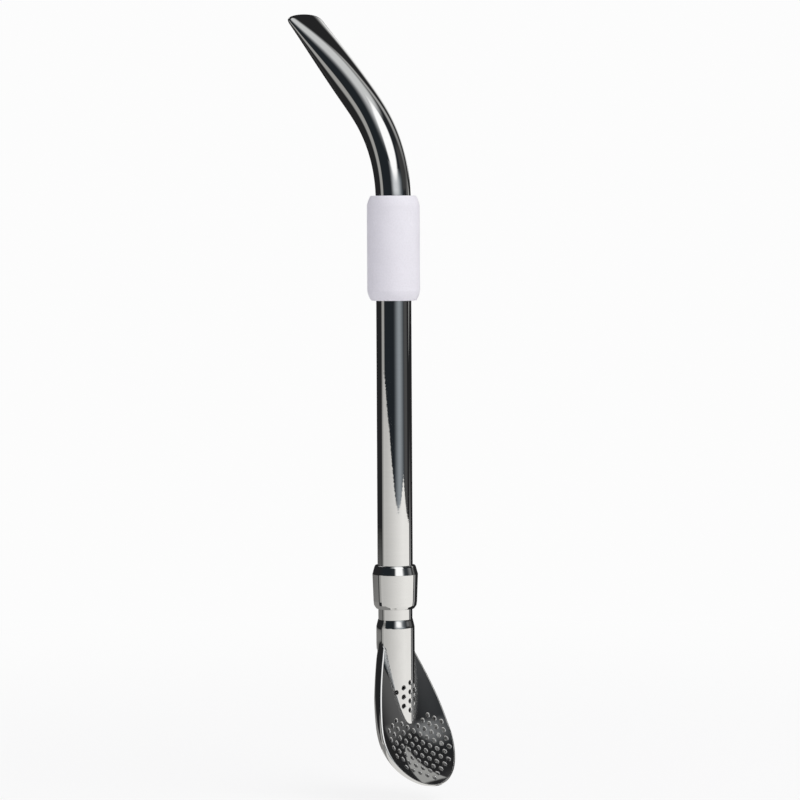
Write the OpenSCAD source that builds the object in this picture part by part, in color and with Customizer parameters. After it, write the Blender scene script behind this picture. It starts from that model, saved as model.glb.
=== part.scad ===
// Drinking straw of polished steel with a screw-off spoon filter and a silicone grip.
// Z runs up the stem axis, z = 0 is the top face of the collar.
// X is the way the perforated face of the spoon looks, the mouthpiece bends to -X.
// All sizes are in millimetres.

/* [Stem] */
// Outside diameter of the stem tube
stem_d = 8; // [7.6:0.05:8.4]
// Wall of the stem tube
stem_wall = 0.5; // [0.4:0.05:0.6]
// Height of the mouthpiece's end above the collar, sets the whole straw's length
stem_high = 125.36; // [106:0.01:155]

/* [Mouthpiece] */
// Centre line radius of the bend
bend_r = 32.4; // [28:0.1:45]
// Angle of the bend
bend_deg = 42.5; // [30:0.1:55]
// How far below the grip's top the bend begins
bend_under_grip = 1; // [0:0.1:1.2]
// Length of the flattened run above the bend
mouth_len = 27.9; // [22:0.1:36]
// Width of the lip
lip_w = 11.7; // [10.6:0.1:12]
// Thickness of the lip
lip_t = 3; // [2.6:0.1:4]
// How late the flattening sets in
lip_late = 2.3; // [1.6:0.1:3]
// Rounding of the lip's corners
lip_corner = 1.2; // [0.6:0.1:1.6]

/* [Grip] */
// Outside diameter of the grip
grip_d = 12; // [11:0.1:14]
// Length of the grip
grip_len = 23.8; // [16:0.1:32]
// Diameter of the grip's end faces
grip_end_d = 10.3; // [9.6:0.1:10.8]
// Length of each sloped end of the grip
grip_slope = 2.3; // [1:0.1:3.5]
// Bulge of the sloped ends over a straight cone
grip_bulge = 0.14; // [0:0.02:0.2]
// Radial play of the grip on the stem
grip_fit = 0.05; // [0.04:0.01:0.1]

/* [Collar] */
// Largest diameter of the collar
collar_d = 10.35; // [10.1:0.05:12]
// Height of the collar
collar_h = 9.85; // [9.6:0.05:11]
// Diameter of the collar's top edge
collar_top_d = 9.4; // [9.1:0.1:9.8]
// Height of the top bevel
collar_bevel = 2; // [1:0.1:2.4]
// Diameter of the collar above its rolled lower edge
collar_low_d = 9.9; // [9.8:0.05:10]
// Radius of the rolled lower edge
collar_roll = 1; // [0.5:0.05:1.2]
// Radial play of the stem in the collar's mouth
mouth_fit = 0.06; // [0.04:0.01:0.1]

/* [Thread] */
// Rise of the thread in one turn
thread_pitch = 1; // [0.9:0.05:1.1]
// Outside diameter of the bush's thread
thread_d = 7.9; // [7.8:0.05:7.9]
// Depth of the bush's thread
thread_depth = 0.5; // [0.4:0.02:0.5]
// Width of the thread's crest
thread_crest = 0.2; // [0.16:0.02:0.22]
// Width of the thread's root
thread_root = 0.7; // [0.6:0.02:0.74]
// Play between the two threads
thread_fit = 0.08; // [0.06:0.01:0.09]
// Length of the stem inside the collar
stem_in_collar = 2; // [1.6:0.1:2.2]
// Thickness of the bush's shoulder
bush_shoulder = 0.5; // [0.4:0.05:0.6]
// Length of the bush below its shoulder
bush_thread_len = 4.9; // [4.6:0.05:5]
// Length of the bush inside the stem
bush_in_stem = 6; // [4:0.1:8]
// Bore of the bush
bush_bore = 5.8; // [5.4:0.05:5.8]

/* [Seal] */
// Thickness of the seal ring
seal_h = 0.75; // [0.6:0.05:0.8]
// Gap above the seal ring when the filter is screwed home
seal_gap = 0.05; // [0.04:0.01:0.08]
// Radial play of the seal ring in the collar
seal_fit = 0.06; // [0.04:0.01:0.1]

/* [Neck] */
// Outside diameter of the neck tube
neck_d = 7.75; // [7.7:0.05:7.8]
// Wall of the neck tube
neck_wall = 0.45; // [0.4:0.05:0.5]
// Bare neck between collar and spoon
neck_bare = 2.45; // [1.5:0.05:4]
// Length of the neck inside the spoon's sleeve
neck_in_sleeve = 5; // [3:0.1:6]
// Solder gap between joined pieces
solder_gap = 0.02; // [0.01:0.005:0.03]

/* [Spoon] */
// Outside diameter of the spoon's sleeve
sleeve_d = 8.7; // [8.65:0.05:8.8]
// Thickness of the spoon's sheets
sheet_t = 0.45; // [0.4:0.01:0.46]
// Height of the sleeve's sloped shoulder
shoulder_h = 1.6; // [1:0.1:2]
// Diameter of the sleeve's top edge
shoulder_d = 8.1; // [8.05:0.05:8.2]
// Sleeve length from its top edge to where the spoon's frame begins
sleeve_len = 4.2; // [4:0.1:6]
// Lean of the spoon out of the stem axis
spoon_lean = 12.65; // [10:0.05:15]
// Distance of the dish from the stem axis at the spoon's frame
dish_x0 = 0.02; // [-0.1:0.01:0.1]
// Start of the flare below the spoon's frame
flare_at = 1.3; // [1.2:0.1:1.6]
// Largest width of the spoon
spoon_w = 23.3; // [20:0.1:25]
// Place of the largest width along the spoon
wide_at = 23; // [22:0.1:24]
// End of the spoon along its length
spoon_len = 34.35; // [34:0.05:36]
// Fullness of the flare
flare_full = 1.53; // [1.3:0.01:1.7]
// Largest depth of the back below the rim
back_deep = 5.8; // [5.2:0.05:7]
// Place of the largest depth along the spoon
deep_at = 12.8; // [11:0.1:16]
// Radius of the dish across the spoon
dish_across = 49.5; // [46:0.5:60]
// Radius of the dish's upturned lower half
dish_along = 25.1; // [24:0.1:27]
// Place where the dish begins to turn up
dish_turn = 18.9; // [18:0.1:19.5]
// How far the rim stands above the dish
rim_rise = 0.15; // [0:0.01:0.2]
// Height of the rim's upright band
rim_band = 0.7; // [0.6:0.05:0.9]

/* [Perforations] */
// Diameter of the holes
hole_d = 1.05; // [0.8:0.05:1.2]
// Spacing of the holes along a column
hole_step = 1.96; // [1.9:0.02:2.1]
// Spacing of the columns
hole_col = 1.79; // [1.7:0.01:1.9]
// Sideways place of the middle column
hole_side = 0.56; // [0:0.02:0.6]
// Place of the middle column's first hole along the spoon
hole_from = 21.42; // [21.3:0.02:21.6]
// Middle of the perforated field along the spoon
field_at = 23; // [22.6:0.1:23.2]
// Half length of the perforated field
field_half = 10.4; // [9.4:0.1:10.5]
// Half width of the perforated field
field_wide = 9.7; // [8.6:0.1:9.8]
// Height of the field's upper limit along the spoon
field_top = 18; // [17.6:0.1:18.4]
// Top hole of the ridge below the sleeve's top edge
ridge_from = 14.05; // [13.6:0.05:14.4]
// Spacing of the holes along the ridge
ridge_step = 2.07; // [2:0.01:2.12]
// Angle between the ridge's columns
ridge_turn = 24; // [22:0.5:25]

/* [Hidden] */
$fn = 96;

steel = [0.74, 0.75, 0.77];
bright = [0.8, 0.81, 0.83];
silicone = [0.9, 0.89, 0.93];
seal_tone = [0.82, 0.82, 0.8];

stem_r = stem_d / 2;
bore_r = stem_r - stem_wall;
stem_low = -stem_in_collar;
bend_z = stem_high - mouth_len * cos(bend_deg) - bend_r * sin(bend_deg);
grip_top = bend_z + bend_under_grip;
grip_low = grip_top - grip_len;
bend_end = [-bend_r * (1 - cos(bend_deg)), 0, bend_z + bend_r * sin(bend_deg)];
mouth_way = [-sin(bend_deg), 0, cos(bend_deg)];
mouth_up = [cos(bend_deg), 0, sin(bend_deg)];

thread_r = thread_d / 2;
core_r = thread_r - thread_depth;
shoulder_z = stem_low - bush_shoulder;
bush_low = shoulder_z - bush_thread_len;
seal_top = bush_low - seal_gap;
seal_low = seal_top - seal_h;
neck_r = neck_d / 2;
socket_r = neck_r + solder_gap;
sleeve_top = -collar_h - neck_bare;
sleeve_r = sleeve_d / 2;
sleeve_in = sleeve_r - sheet_t;

// The spoon's own frame: s runs down the spoon, u out of the dish, Y across.
frame_z = sleeve_top - sleeve_len;
s_way = [sin(spoon_lean), 0, -cos(spoon_lean)];
u_way = [cos(spoon_lean), 0, sin(spoon_lean)];
spoon_o = [dish_x0, 0, frame_z];
wide_r = spoon_w / 2;
// Longer than any piece that is cut to half.
far = 2 * spoon_len;
function spot(s, y, u) = spoon_o + s * s_way + u * u_way + [0, y, 0];

// Outer half width and depth of the spoon at s, drawn in by g for the inner face.
function half_w(s, g) = s < wide_at
    ? sleeve_r + (wide_r - sleeve_r) * (1 - pow(1 - (s - flare_at) / (wide_at - flare_at), flare_full)) - g
    : (wide_r - g) * sqrt(max(0, 1 - pow((s - wide_at) / (spoon_len - g - wide_at), 2)));
deep_0 = sleeve_r / cos(spoon_lean);
function depth(s, g) = s < deep_at
    ? deep_0 + (back_deep - deep_0) * (s - flare_at) / (deep_at - flare_at) - g
    : (back_deep - g) * sqrt(max(0, 1 - pow((s - deep_at) / (spoon_len - g - deep_at), 2)));

// Height of the dish at s and y.
function reach(s) = s < dish_turn
    ? dish_across
    : dish_across - dish_along + sqrt(pow(dish_along, 2) - pow(s - dish_turn, 2));
function dish_u(s, y) = dish_across - sqrt(pow(reach(s), 2) - y * y);

// The rim starts on the sleeve's seam and climbs to stand proud of the dish.
function seam_u(s) = -(dish_x0 + s * sin(spoon_lean)) / cos(spoon_lean);
lift_0 = seam_u(flare_at) - dish_u(flare_at, sleeve_r);
function ease(x) = let (q = min(1, max(0, x))) q * q * (3 - 2 * q);
function lift(s) = s < wide_at
    ? lift_0 + (rim_rise - lift_0) * ease((half_w(s, 0) - sleeve_r - sheet_t - 0.1) / 0.8)
    : rim_rise;
function rim_u(s) = dish_u(s, half_w(s, 0)) + lift(s);

module ring(r_out, r_in, z_low, z_high) {
    rotate_extrude()
        translate([r_in, z_low])
            square([r_out - r_in, z_high - z_low]);
}

// Flattened mouthpiece: rings of an ellipse that thins and widens towards the lip.
// Its first ring lies a little inside the wall of the bend's end.
mouth_n = 16;
mouth_m = 44;
mouth_sunk = 0.3;
mouth_slack = 0.01;
function flat(v) = pow(max(0, v) / mouth_len, lip_late);
function end_cut(v) = let (q = max(0, (v - mouth_len + lip_corner) / lip_corner))
    lip_corner * (1 - sqrt(max(0, 1 - q * q * 0.96)));
function mouth_a(v) = stem_r + (lip_w / 2 - stem_r) * flat(v) * (1.28 - 0.28 * flat(v)) - end_cut(v);
function mouth_b(v) = stem_r - (stem_r - lip_t / 2) * flat(v);
function mouth_v(i) = i == 0 ? -mouth_sunk : i < 12
    ? (mouth_len - lip_corner) * i / 12
    : mouth_len - lip_corner + lip_corner * sin(90 * (i - 12) / (mouth_n - 12));
function mouth_p(v, a, b, f) = bend_end + v * mouth_way + b * sin(f) * mouth_up + [0, a * cos(f), 0];
function mouth_ring(i, g) = [for (j = [0 : mouth_m - 1])
    mouth_p(mouth_v(i), mouth_a(mouth_v(i)) - g, mouth_b(mouth_v(i)) - g, 360 * j / mouth_m)];

module mouthpiece() {
    rows = mouth_n + 1;
    outer = [for (i = [0 : mouth_n]) each mouth_ring(i, i == 0 ? mouth_slack : 0)];
    inner = [for (i = [0 : mouth_n]) each mouth_ring(i, i == 0 ? stem_wall - 3 * mouth_slack : stem_wall)];
    k = rows * mouth_m;
    side = [for (i = [0 : mouth_n - 1]) for (j = [0 : mouth_m - 1])
        let (a = i * mouth_m + j, b = i * mouth_m + (j + 1) % mouth_m)
        each [[a, b, b + mouth_m], [a, b + mouth_m, a + mouth_m],
              [k + a, k + b + mouth_m, k + b], [k + a, k + a + mouth_m, k + b + mouth_m]]];
    e = mouth_n * mouth_m;
    ends = [for (j = [0 : mouth_m - 1])
        let (q = (j + 1) % mouth_m)
        each [[j, k + j, k + q], [j, k + q, q],
              [e + j, k + e + q, k + e + j], [e + j, e + q, k + e + q]]];
    polyhedron(points = concat(outer, inner), faces = concat(side, ends), convexity = 4);
}

module stem_tube() {
    color(steel)
    union() {
        ring(stem_r, bore_r, stem_low, bend_z);
        translate([-bend_r, 0, bend_z])
            rotate([90, 0, 0])
                rotate_extrude(angle = bend_deg)
                    translate([bend_r, 0])
                        difference() {
                            circle(r = stem_r);
                            circle(r = bore_r);
                        }
        mouthpiece();
    }
}

// Sloped end of the grip as points from the end face outwards.
function slope_pt(q) = [grip_end_d / 2 + (grip_d - grip_end_d) / 2 * q + grip_bulge * 4 * q * (1 - q),
                        grip_slope * q];

module grip_sleeve() {
    steps = 8;
    low = [for (i = [0 : steps]) slope_pt(i / steps)];
    high = [for (i = [steps : -1 : 0]) [slope_pt(i / steps)[0], grip_len - slope_pt(i / steps)[1]]];
    color(silicone)
    translate([0, 0, grip_low])
        rotate_extrude()
            polygon(concat([[stem_r + grip_fit, 0]], low, high, [[stem_r + grip_fit, grip_len]]));
}

// Right-hand thread ridge between steps i_low and i_high of a common turn.
turn_n = 24;
thread_low = bush_low + 0.5;
ridge_n = floor(turn_n * (shoulder_z - 0.5 - thread_low) / thread_pitch);

module helix(r_in, c, w_in, w_crest, i_low, i_high) {
    n = i_high - i_low;
    pts = [for (i = [0 : n])
        let (q = (i + i_low) / turn_n, a = 360 * q, z = thread_low + thread_pitch * q)
        each [[r_in * cos(a), r_in * sin(a), z - w_in / 2],
              [c * cos(a), c * sin(a), z - w_crest / 2],
              [c * cos(a), c * sin(a), z + w_crest / 2],
              [r_in * cos(a), r_in * sin(a), z + w_in / 2]]];
    walls = [for (i = [0 : n - 1]) for (j = [0 : 3])
        let (a = 4 * i + j, b = 4 * i + (j + 1) % 4)
        each [[a, b, b + 4], [a, b + 4, a + 4]]];
    caps = [[0, 3, 2], [0, 2, 1], [4 * n, 4 * n + 1, 4 * n + 2], [4 * n, 4 * n + 2, 4 * n + 3]];
    polyhedron(points = pts, faces = concat(walls, caps), convexity = 6);
}

// Width of the ridge where it is sunk below the core.
sunk = 0.12;
function ridge_w(r) = thread_root - (thread_root - thread_crest) * (r - core_r) / thread_depth;

module thread_bush() {
    color(bright)
    union() {
        rotate_extrude()
            polygon([[bush_bore / 2, bush_low], [core_r, bush_low], [core_r, shoulder_z],
                     [stem_r - solder_gap, shoulder_z], [stem_r - solder_gap, stem_low - solder_gap],
                     [bore_r - solder_gap, stem_low - solder_gap],
                     [bore_r - solder_gap, stem_low + bush_in_stem],
                     [bush_bore / 2, stem_low + bush_in_stem]]);
        helix(core_r - sunk, thread_r, ridge_w(core_r - sunk), thread_crest, 0, ridge_n);
    }
}

nut_r = core_r + thread_fit;
nut_top = shoulder_z - 0.1;

module collar() {
    low_r = collar_low_d / 2;
    color(bright)
    difference() {
        rotate_extrude()
            difference() {
                union() {
                    polygon([[0, -collar_h + collar_roll], [low_r, -collar_h + collar_roll],
                             [collar_d / 2, -collar_bevel], [collar_top_d / 2, 0], [0, 0]]);
                    translate([0, -collar_h])
                        square([low_r - collar_roll, collar_roll]);
                    intersection() {
                        translate([low_r - collar_roll, -collar_h + collar_roll])
                            circle(r = collar_roll);
                        translate([low_r - collar_roll, -collar_h])
                            square([collar_roll, collar_roll]);
                    }
                }
                translate([-1, -collar_h - 1])
                    square([socket_r + 1, collar_h + 1 + seal_top + seal_gap / 2]);
                translate([-1, -collar_h])
                    square([nut_r + 1, collar_h + 1]);
                translate([-1, nut_top])
                    square([stem_r + mouth_fit + 1, -nut_top + 1]);
            }
        helix(nut_r - 0.25, thread_r + thread_fit, ridge_w(nut_r - 0.25) + 2 * thread_fit,
              thread_crest + 2 * thread_fit, -5, ridge_n + 16);
    }
}

module seal_washer() {
    color(seal_tone)
    ring(socket_r - seal_fit, bush_bore / 2, seal_low, seal_top);
}

module neck_tube() {
    color(steel)
    ring(neck_r, neck_r - neck_wall, sleeve_top - neck_in_sleeve, seal_low - seal_gap);
}

// Sleeve of the spoon with its sloped shoulder, solid and turned about the stem axis.
module sleeve_body(z_low) {
    rotate_extrude()
        polygon([[0, z_low], [sleeve_r, z_low], [sleeve_r, sleeve_top - shoulder_h],
                 [shoulder_d / 2, sleeve_top], [0, sleeve_top]]);
}

// Everything in front of the dish, grown by g to the back of its sheet.
module dish_profile(g) {
    mid = dish_across - dish_along;
    translate([0, -3 * sleeve_len])
        square([dish_across + g, dish_turn + 3 * sleeve_len]);
    translate([0, dish_turn])
        square([mid, dish_along + g]);
    intersection() {
        translate([mid, dish_turn])
            circle(r = dish_along + g);
        translate([mid, dish_turn])
            square(1.2 * dish_along);
    }
}

module dish_place() {
    translate(spoon_o + dish_across * u_way)
        rotate([0, 180 - spoon_lean, 0])
            children();
}

module dish_turned(half) {
    dish_place()
        rotate([0, 0, -half])
            rotate_extrude(angle = 2 * half)
                children();
}

// Holes of the dish, square to its surface.
module dish_holes() {
    for (k = [-5 : 5])
        for (i = [-4 : 9]) {
            l = hole_from + hole_step * (i + (abs(k) % 2) / 2);
            y = hole_side + hole_col * k;
            g = l < dish_turn ? 0 : (l - dish_turn) / dish_along * 180 / PI;
            s = l < dish_turn ? l : dish_turn + dish_along * sin(g);
            out = dish_across - dish_along * (1 - cos(g));
            x = spot(s, y, dish_u(s, y))[0];
            in_field = pow((l - field_at) / field_half, 2) + pow(hole_col * k / field_wide, 2) < 1;
            off_ridge = x > sleeve_r + 0.05 || norm([x, y]) > sleeve_r + 0.85;
            if (in_field && l > field_top && off_ridge)
                dish_place()
                    rotate([0, 0, asin(y / out)])
                        translate([out, 0, s])
                            rotate([0, 90 - g, 0])
                                cylinder(d = hole_d, h = 7 * sheet_t, center = true, $fn = 24);
        }
}

module ridge_holes() {
    rows = [4, 3, 1];
    for (j = [-2 : 2])
        for (i = [0 : rows[abs(j)] - 1])
            translate([0, 0, sleeve_top - ridge_from - ridge_step * (i + abs(j) / 2)])
                rotate([0, 90, ridge_turn * j])
                    translate([0, 0, sleeve_in - sheet_t])
                        cylinder(d = hole_d, h = 4 * sheet_t, $fn = 24);
}

// Outline of the perforated sheet, just inside the back's rim.
inset = sheet_t + solder_gap;
function outline(sgn) = [for (i = [0 : 32])
    let (s = i < 17
            ? flare_at + (wide_at - flare_at) * i / 17
            : wide_at + (spoon_len - inset - wide_at) * sin(90 * (i - 17) / 15))
    [s, sgn * half_w(s, inset)]];

module spoon_front() {
    back = outline(-1);
    edge = concat(outline(1), [for (i = [31 : -1 : 0]) back[i]]);
    color(steel)
    difference() {
        intersection() {
            union() {
                intersection() {
                    sleeve_body(frame_z - spoon_len * 0.65);
                    translate([solder_gap, -far / 2, frame_z - far / 2])
                        cube(far);
                }
                difference() {
                    translate(spoon_o)
                        rotate([0, 90 - spoon_lean, 0])
                            translate([0, 0, -sleeve_d])
                                linear_extrude(2 * sleeve_d)
                                    polygon(edge);
                    dish_turned(20)
                        dish_profile(0);
                }
            }
            dish_turned(17)
                dish_profile(sheet_t);
        }
        translate([0, 0, frame_z - far / 2])
            cylinder(r = sleeve_in, h = far);
        dish_holes();
        ridge_holes();
    }
}

// Back of the spoon: cross sections of an upright rim band and half an ellipse.
back_n = 30;
back_m = 24;
function back_s(i, g) = i < 14
    ? flare_at + (wide_at - flare_at) * i / 14
    : wide_at + (spoon_len - g - wide_at) * sin(90 * (i - 14) / (back_n - 14));
function band(s, g) = min(rim_band, 0.5 * depth(s, g)) * ease((s - flare_at) / 3);
function back_ring(i, g) =
    let (s = back_s(i, g), w = half_w(s, g), d = depth(s, g), t = rim_u(s), b = band(s, g))
    concat([spot(s, -w, t)],
           [for (j = [0 : back_m]) let (f = -90 + 180 * j / back_m)
               spot(s, w * sin(f), t - b - (d - b) * cos(f))],
           [spot(s, w, t)]);

// The first section is sunk a little into the sleeve's own wall.
sink = 0.05;
function on_sleeve(r, f, up) =
    spot(flare_at - sink, r * sin(f), seam_u(flare_at - sink) - (max(0, r * cos(f)) + up) / cos(spoon_lean));
function first_ring(r) = concat([on_sleeve(r, -90, 0.04)],
    [for (j = [0 : back_m]) let (f = -90 + 180 * j / back_m) on_sleeve(r, f, 0.08 * pow(sin(f), 2))],
    [on_sleeve(r, 90, 0.04)]);

module back_sheet() {
    w = back_m + 3;
    outer = concat(first_ring(sleeve_r - sink), [for (i = [1 : back_n - 1]) each back_ring(i, 0)]);
    inner = concat(first_ring(sleeve_in + sink), [for (i = [1 : back_n - 1]) each back_ring(i, sheet_t)]);
    tip_o = spot(spoon_len, 0, rim_u(spoon_len));
    tip_i = spot(spoon_len - sheet_t, 0, rim_u(spoon_len - sheet_t));
    k = back_n * w;
    to = 2 * k;
    ti = 2 * k + 1;
    e = (back_n - 1) * w;
    skin = [for (i = [0 : back_n - 2]) for (j = [0 : w - 2])
        let (a = i * w + j, b = a + 1, c = a + w + 1, d = a + w)
        each [[a, c, b], [a, d, c], [k + a, k + b, k + c], [k + a, k + c, k + d]]];
    nose = [for (j = [0 : w - 2]) each [[e + j, to, e + j + 1], [k + e + j, k + e + j + 1, ti]]];
    mouth = [for (j = [0 : w - 2]) each [[j, j + 1, k + j + 1], [j, k + j + 1, k + j]]];
    rim = [for (i = [0 : back_n - 2])
        let (a = i * w, b = a + w, c = a + w - 1, d = b + w - 1)
        each [[a, k + b, b], [a, k + a, k + b], [c, d, k + d], [c, k + d, k + c]]];
    point = [[e, k + e, ti], [e, ti, to], [e + w - 1, ti, k + e + w - 1], [e + w - 1, to, ti]];
    polyhedron(points = concat(outer, inner, [tip_o, tip_i]),
               faces = concat(skin, nose, mouth, rim, point), convexity = 6);
}

module spoon_back() {
    color(steel)
    union() {
        difference() {
            intersection() {
                sleeve_body(frame_z - 0.7 * sleeve_d);
                translate([-far, -far / 2, frame_z - far / 2])
                    cube(far);
            }
            translate([0, 0, frame_z - far / 2])
                cylinder(r = sleeve_in, h = far);
            translate(spoon_o + flare_at * s_way)
                rotate([0, -spoon_lean, 0])
                    translate([-far / 2, -far / 2, -far])
                        cube(far);
        }
        back_sheet();
    }
}

stem_tube();
grip_sleeve();
thread_bush();
collar();
seal_washer();
neck_tube();
spoon_front();
spoon_back();
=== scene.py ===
"""Looks of a steel mate straw with a screw-off spoon filter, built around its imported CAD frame."""

import math

import bmesh
import bpy
import numpy as np
from bpy.props import FloatProperty, FloatVectorProperty, IntProperty, PointerProperty
from mathutils import Matrix, Vector, geometry


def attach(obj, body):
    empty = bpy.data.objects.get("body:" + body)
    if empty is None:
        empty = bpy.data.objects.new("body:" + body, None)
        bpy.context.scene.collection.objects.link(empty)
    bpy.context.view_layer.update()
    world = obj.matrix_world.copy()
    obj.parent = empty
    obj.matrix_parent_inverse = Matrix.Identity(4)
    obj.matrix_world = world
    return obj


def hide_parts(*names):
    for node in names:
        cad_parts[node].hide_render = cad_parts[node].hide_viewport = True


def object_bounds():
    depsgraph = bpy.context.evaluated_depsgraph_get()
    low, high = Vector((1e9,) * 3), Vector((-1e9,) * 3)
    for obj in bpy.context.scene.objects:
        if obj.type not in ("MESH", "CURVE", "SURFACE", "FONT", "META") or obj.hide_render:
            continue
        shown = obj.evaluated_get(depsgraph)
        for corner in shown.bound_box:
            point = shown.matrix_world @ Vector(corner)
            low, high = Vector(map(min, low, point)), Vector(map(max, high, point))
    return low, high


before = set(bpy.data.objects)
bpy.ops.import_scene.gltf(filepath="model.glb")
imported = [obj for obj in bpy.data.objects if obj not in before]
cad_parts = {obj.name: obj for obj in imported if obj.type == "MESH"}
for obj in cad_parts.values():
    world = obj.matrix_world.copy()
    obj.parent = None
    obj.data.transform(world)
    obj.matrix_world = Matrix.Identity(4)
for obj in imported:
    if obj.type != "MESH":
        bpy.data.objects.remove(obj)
CAD_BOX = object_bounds()

bl_info = {
    "name": "Mate straw",
    "version": (1, 0, 0),
    "blender": (4, 5, 0),
    "location": "View3D > Sidebar > Mate straw",
    "description": "Builds the looks of a steel mate straw with a spoon filter and a silicone grip",
    "category": "Object",
}

MM = 0.001
TAU = 2 * math.pi


# sizes and colours a user would change

def length(name, text, default):
    """A length in metres, given in millimetres."""
    return FloatProperty(name=name, description=text, default=default * MM, unit="LENGTH", precision=5)


def tone(name, text, default):
    """A linear colour."""
    return FloatVectorProperty(name=name, description=text, default=default, subtype="COLOR", min=0, max=1)


class StrawStem(bpy.types.PropertyGroup):
    """Sizes of the stem tube and its mouthpiece."""

    diameter: length("Diameter", "Outside diameter of the stem tube", 8)
    wall: length("Wall", "Wall of the stem tube", 0.5)
    foot: length("Foot", "Height of the tube's lower end, inside the collar", -2)
    bend_start: length("Bend start", "Height where the bend begins", 82.9)
    bend_radius: length("Bend radius", "Centre line radius of the bend", 32.4)
    bend_angle: FloatProperty(name="Bend angle", description="Angle of the bend",
                              default=math.radians(42.5), subtype="ANGLE")
    mouth: length("Mouthpiece", "Length of the flattened run above the bend", 27.9)
    lip_width: length("Lip width", "Width of the lip", 11.7)
    lip_thick: length("Lip thickness", "Thickness of the lip", 3)
    lip_corner: length("Lip corner", "Rounding of the lip's corners", 1.2)
    flat_late: FloatProperty(name="Late", description="How late the flattening sets in", default=2.3)


class StrawGrip(bpy.types.PropertyGroup):
    """Sizes of the silicone grip."""

    low: length("Low end", "Height of the grip's lower end", 60.1)
    height: length("Length", "Length of the grip", 23.8)
    diameter: length("Diameter", "Outside diameter of the grip", 12)
    end_diameter: length("End diameter", "Diameter of the grip's end faces", 10.3)
    slope: length("Slope", "Length of each sloped end", 2.3)
    bulge: length("Bulge", "Bulge of the sloped ends over a straight cone", 0.14)
    bore: length("Bore", "Diameter of the grip's bore", 8.1)


class StrawJoint(bpy.types.PropertyGroup):
    """Sizes of the screw joint: bush, collar, seal and neck."""

    collar_top: length("Collar top", "Diameter of the collar's top edge", 9.4)
    collar_wide: length("Collar", "Largest diameter of the collar", 10.35)
    collar_low: length("Collar low", "Diameter above the rolled lower edge", 9.9)
    collar_height: length("Collar height", "Height of the collar", 9.85)
    bevel: length("Bevel", "Height of the top bevel", 2)
    roll: length("Roll", "Radius of the rolled lower edge", 1)
    thread: length("Thread", "Outside diameter of the bush's thread", 7.9)
    core: length("Core", "Diameter of the bush under its thread", 6.9)
    pitch: length("Pitch", "Rise of the thread in one turn", 1)
    bush_low: length("Bush low end", "Height of the bush's lower end", -7.4)
    bush_bore: length("Bush bore", "Bore of the bush", 5.8)
    neck: length("Neck", "Outside diameter of the neck tube", 7.75)
    neck_wall: length("Neck wall", "Wall of the neck tube", 0.45)


class StrawSpoon(bpy.types.PropertyGroup):
    """Sizes of the spoon and its perforations."""

    sleeve: length("Sleeve", "Outside diameter of the sleeve", 8.7)
    sheet: length("Sheet", "Thickness of the sheets", 0.45)
    sleeve_top: length("Sleeve top", "Height of the sleeve's top edge", -12.3)
    shoulder: length("Shoulder", "Height of the sleeve's sloped shoulder", 1.6)
    shoulder_diameter: length("Shoulder diameter", "Diameter of the sleeve's top edge", 7.9)
    frame_z: length("Frame height", "Height of the spoon's own frame", -16.5)
    dish_x: length("Dish offset", "Distance of the dish from the stem axis at that frame", 0.02)
    lean: FloatProperty(name="Lean", description="Lean of the spoon out of the stem axis",
                        default=math.radians(12.65), subtype="ANGLE")
    flare_at: length("Flare start", "Start of the flare along the spoon", 1.3)
    width: length("Width", "Largest width of the spoon", 23.3)
    wide_at: length("Wide at", "Place of the largest width along the spoon", 23)
    end: length("Length", "End of the spoon along its length", 34.27)
    flare: FloatProperty(name="Flare", description="Fullness of the flare", default=1.53)
    back_deep: length("Depth", "Largest depth of the back below the rim", 5.8)
    deep_at: length("Deep at", "Place of the largest depth along the spoon", 12.8)
    dish_across: length("Dish across", "Radius of the dish across the spoon", 49.5)
    dish_along: length("Dish along", "Radius of the dish's upturned lower half", 25.1)
    dish_turn: length("Dish turn", "Place where the dish begins to turn up", 18.9)
    rim_rise: length("Rim rise", "How far the rim stands above the dish", 0.03)
    rim_band: length("Rim band", "Height of the rim's upright band", 0.7)
    fillet: length("Fillet", "Radius between the ridge and the dish", 0.28)
    hole: length("Hole", "Diameter of the perforations", 0.96)
    hole_edge: length("Hole edge", "Rounding of the perforations' outer edges", 0.18)
    hole_step: length("Hole step", "Spacing of the holes along a column", 1.96)
    hole_column: length("Column step", "Spacing of the columns", 1.79)
    hole_side: length("Column side", "Sideways place of the middle column", 0.56)
    hole_from: length("First hole", "Place of the middle column's first hole", 21.42)
    ridge_from: length("First ridge hole", "Height of the ridge's top hole", -26.35)
    ridge_step: length("Ridge step", "Spacing of the holes along the ridge", 2.07)
    ridge_turn: FloatProperty(name="Ridge turn", description="Angle between the ridge's columns",
                              default=math.radians(24), subtype="ANGLE")


class StrawFinish(bpy.types.PropertyGroup):
    """Colours of the finishes."""

    steel: tone("Steel", "Colour of the polished tube", (0.80, 0.80, 0.795))
    sheet: tone("Sheet", "Colour of the pressed spoon sheets", (0.78, 0.78, 0.775))
    silicone: tone("Silicone", "Colour of the grip", (0.80, 0.785, 0.835))
    seal: tone("Seal", "Colour of the seal ring", (0.72, 0.72, 0.69))
    segments: IntProperty(name="Segments", description="Segments of a turned piece", default=96)


class StrawSettings(bpy.types.PropertyGroup):
    """All settings of the straw."""

    stem: PointerProperty(type=StrawStem)
    grip: PointerProperty(type=StrawGrip)
    joint: PointerProperty(type=StrawJoint)
    spoon: PointerProperty(type=StrawSpoon)
    finish: PointerProperty(type=StrawFinish)


# meshes

def ease(x):
    """Smooth step from 0 to 1."""
    q = np.clip(x, 0, 1)
    return q * q * (3 - 2 * q)


def mark_unpolished(mesh, shares):
    """Notes on each vertex how far its surface was left as it came from the press."""
    mark = mesh.attributes.new("unpolished", "FLOAT", "POINT")
    mark.data.foreach_set("value", np.asarray(shares, np.float32))


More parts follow.
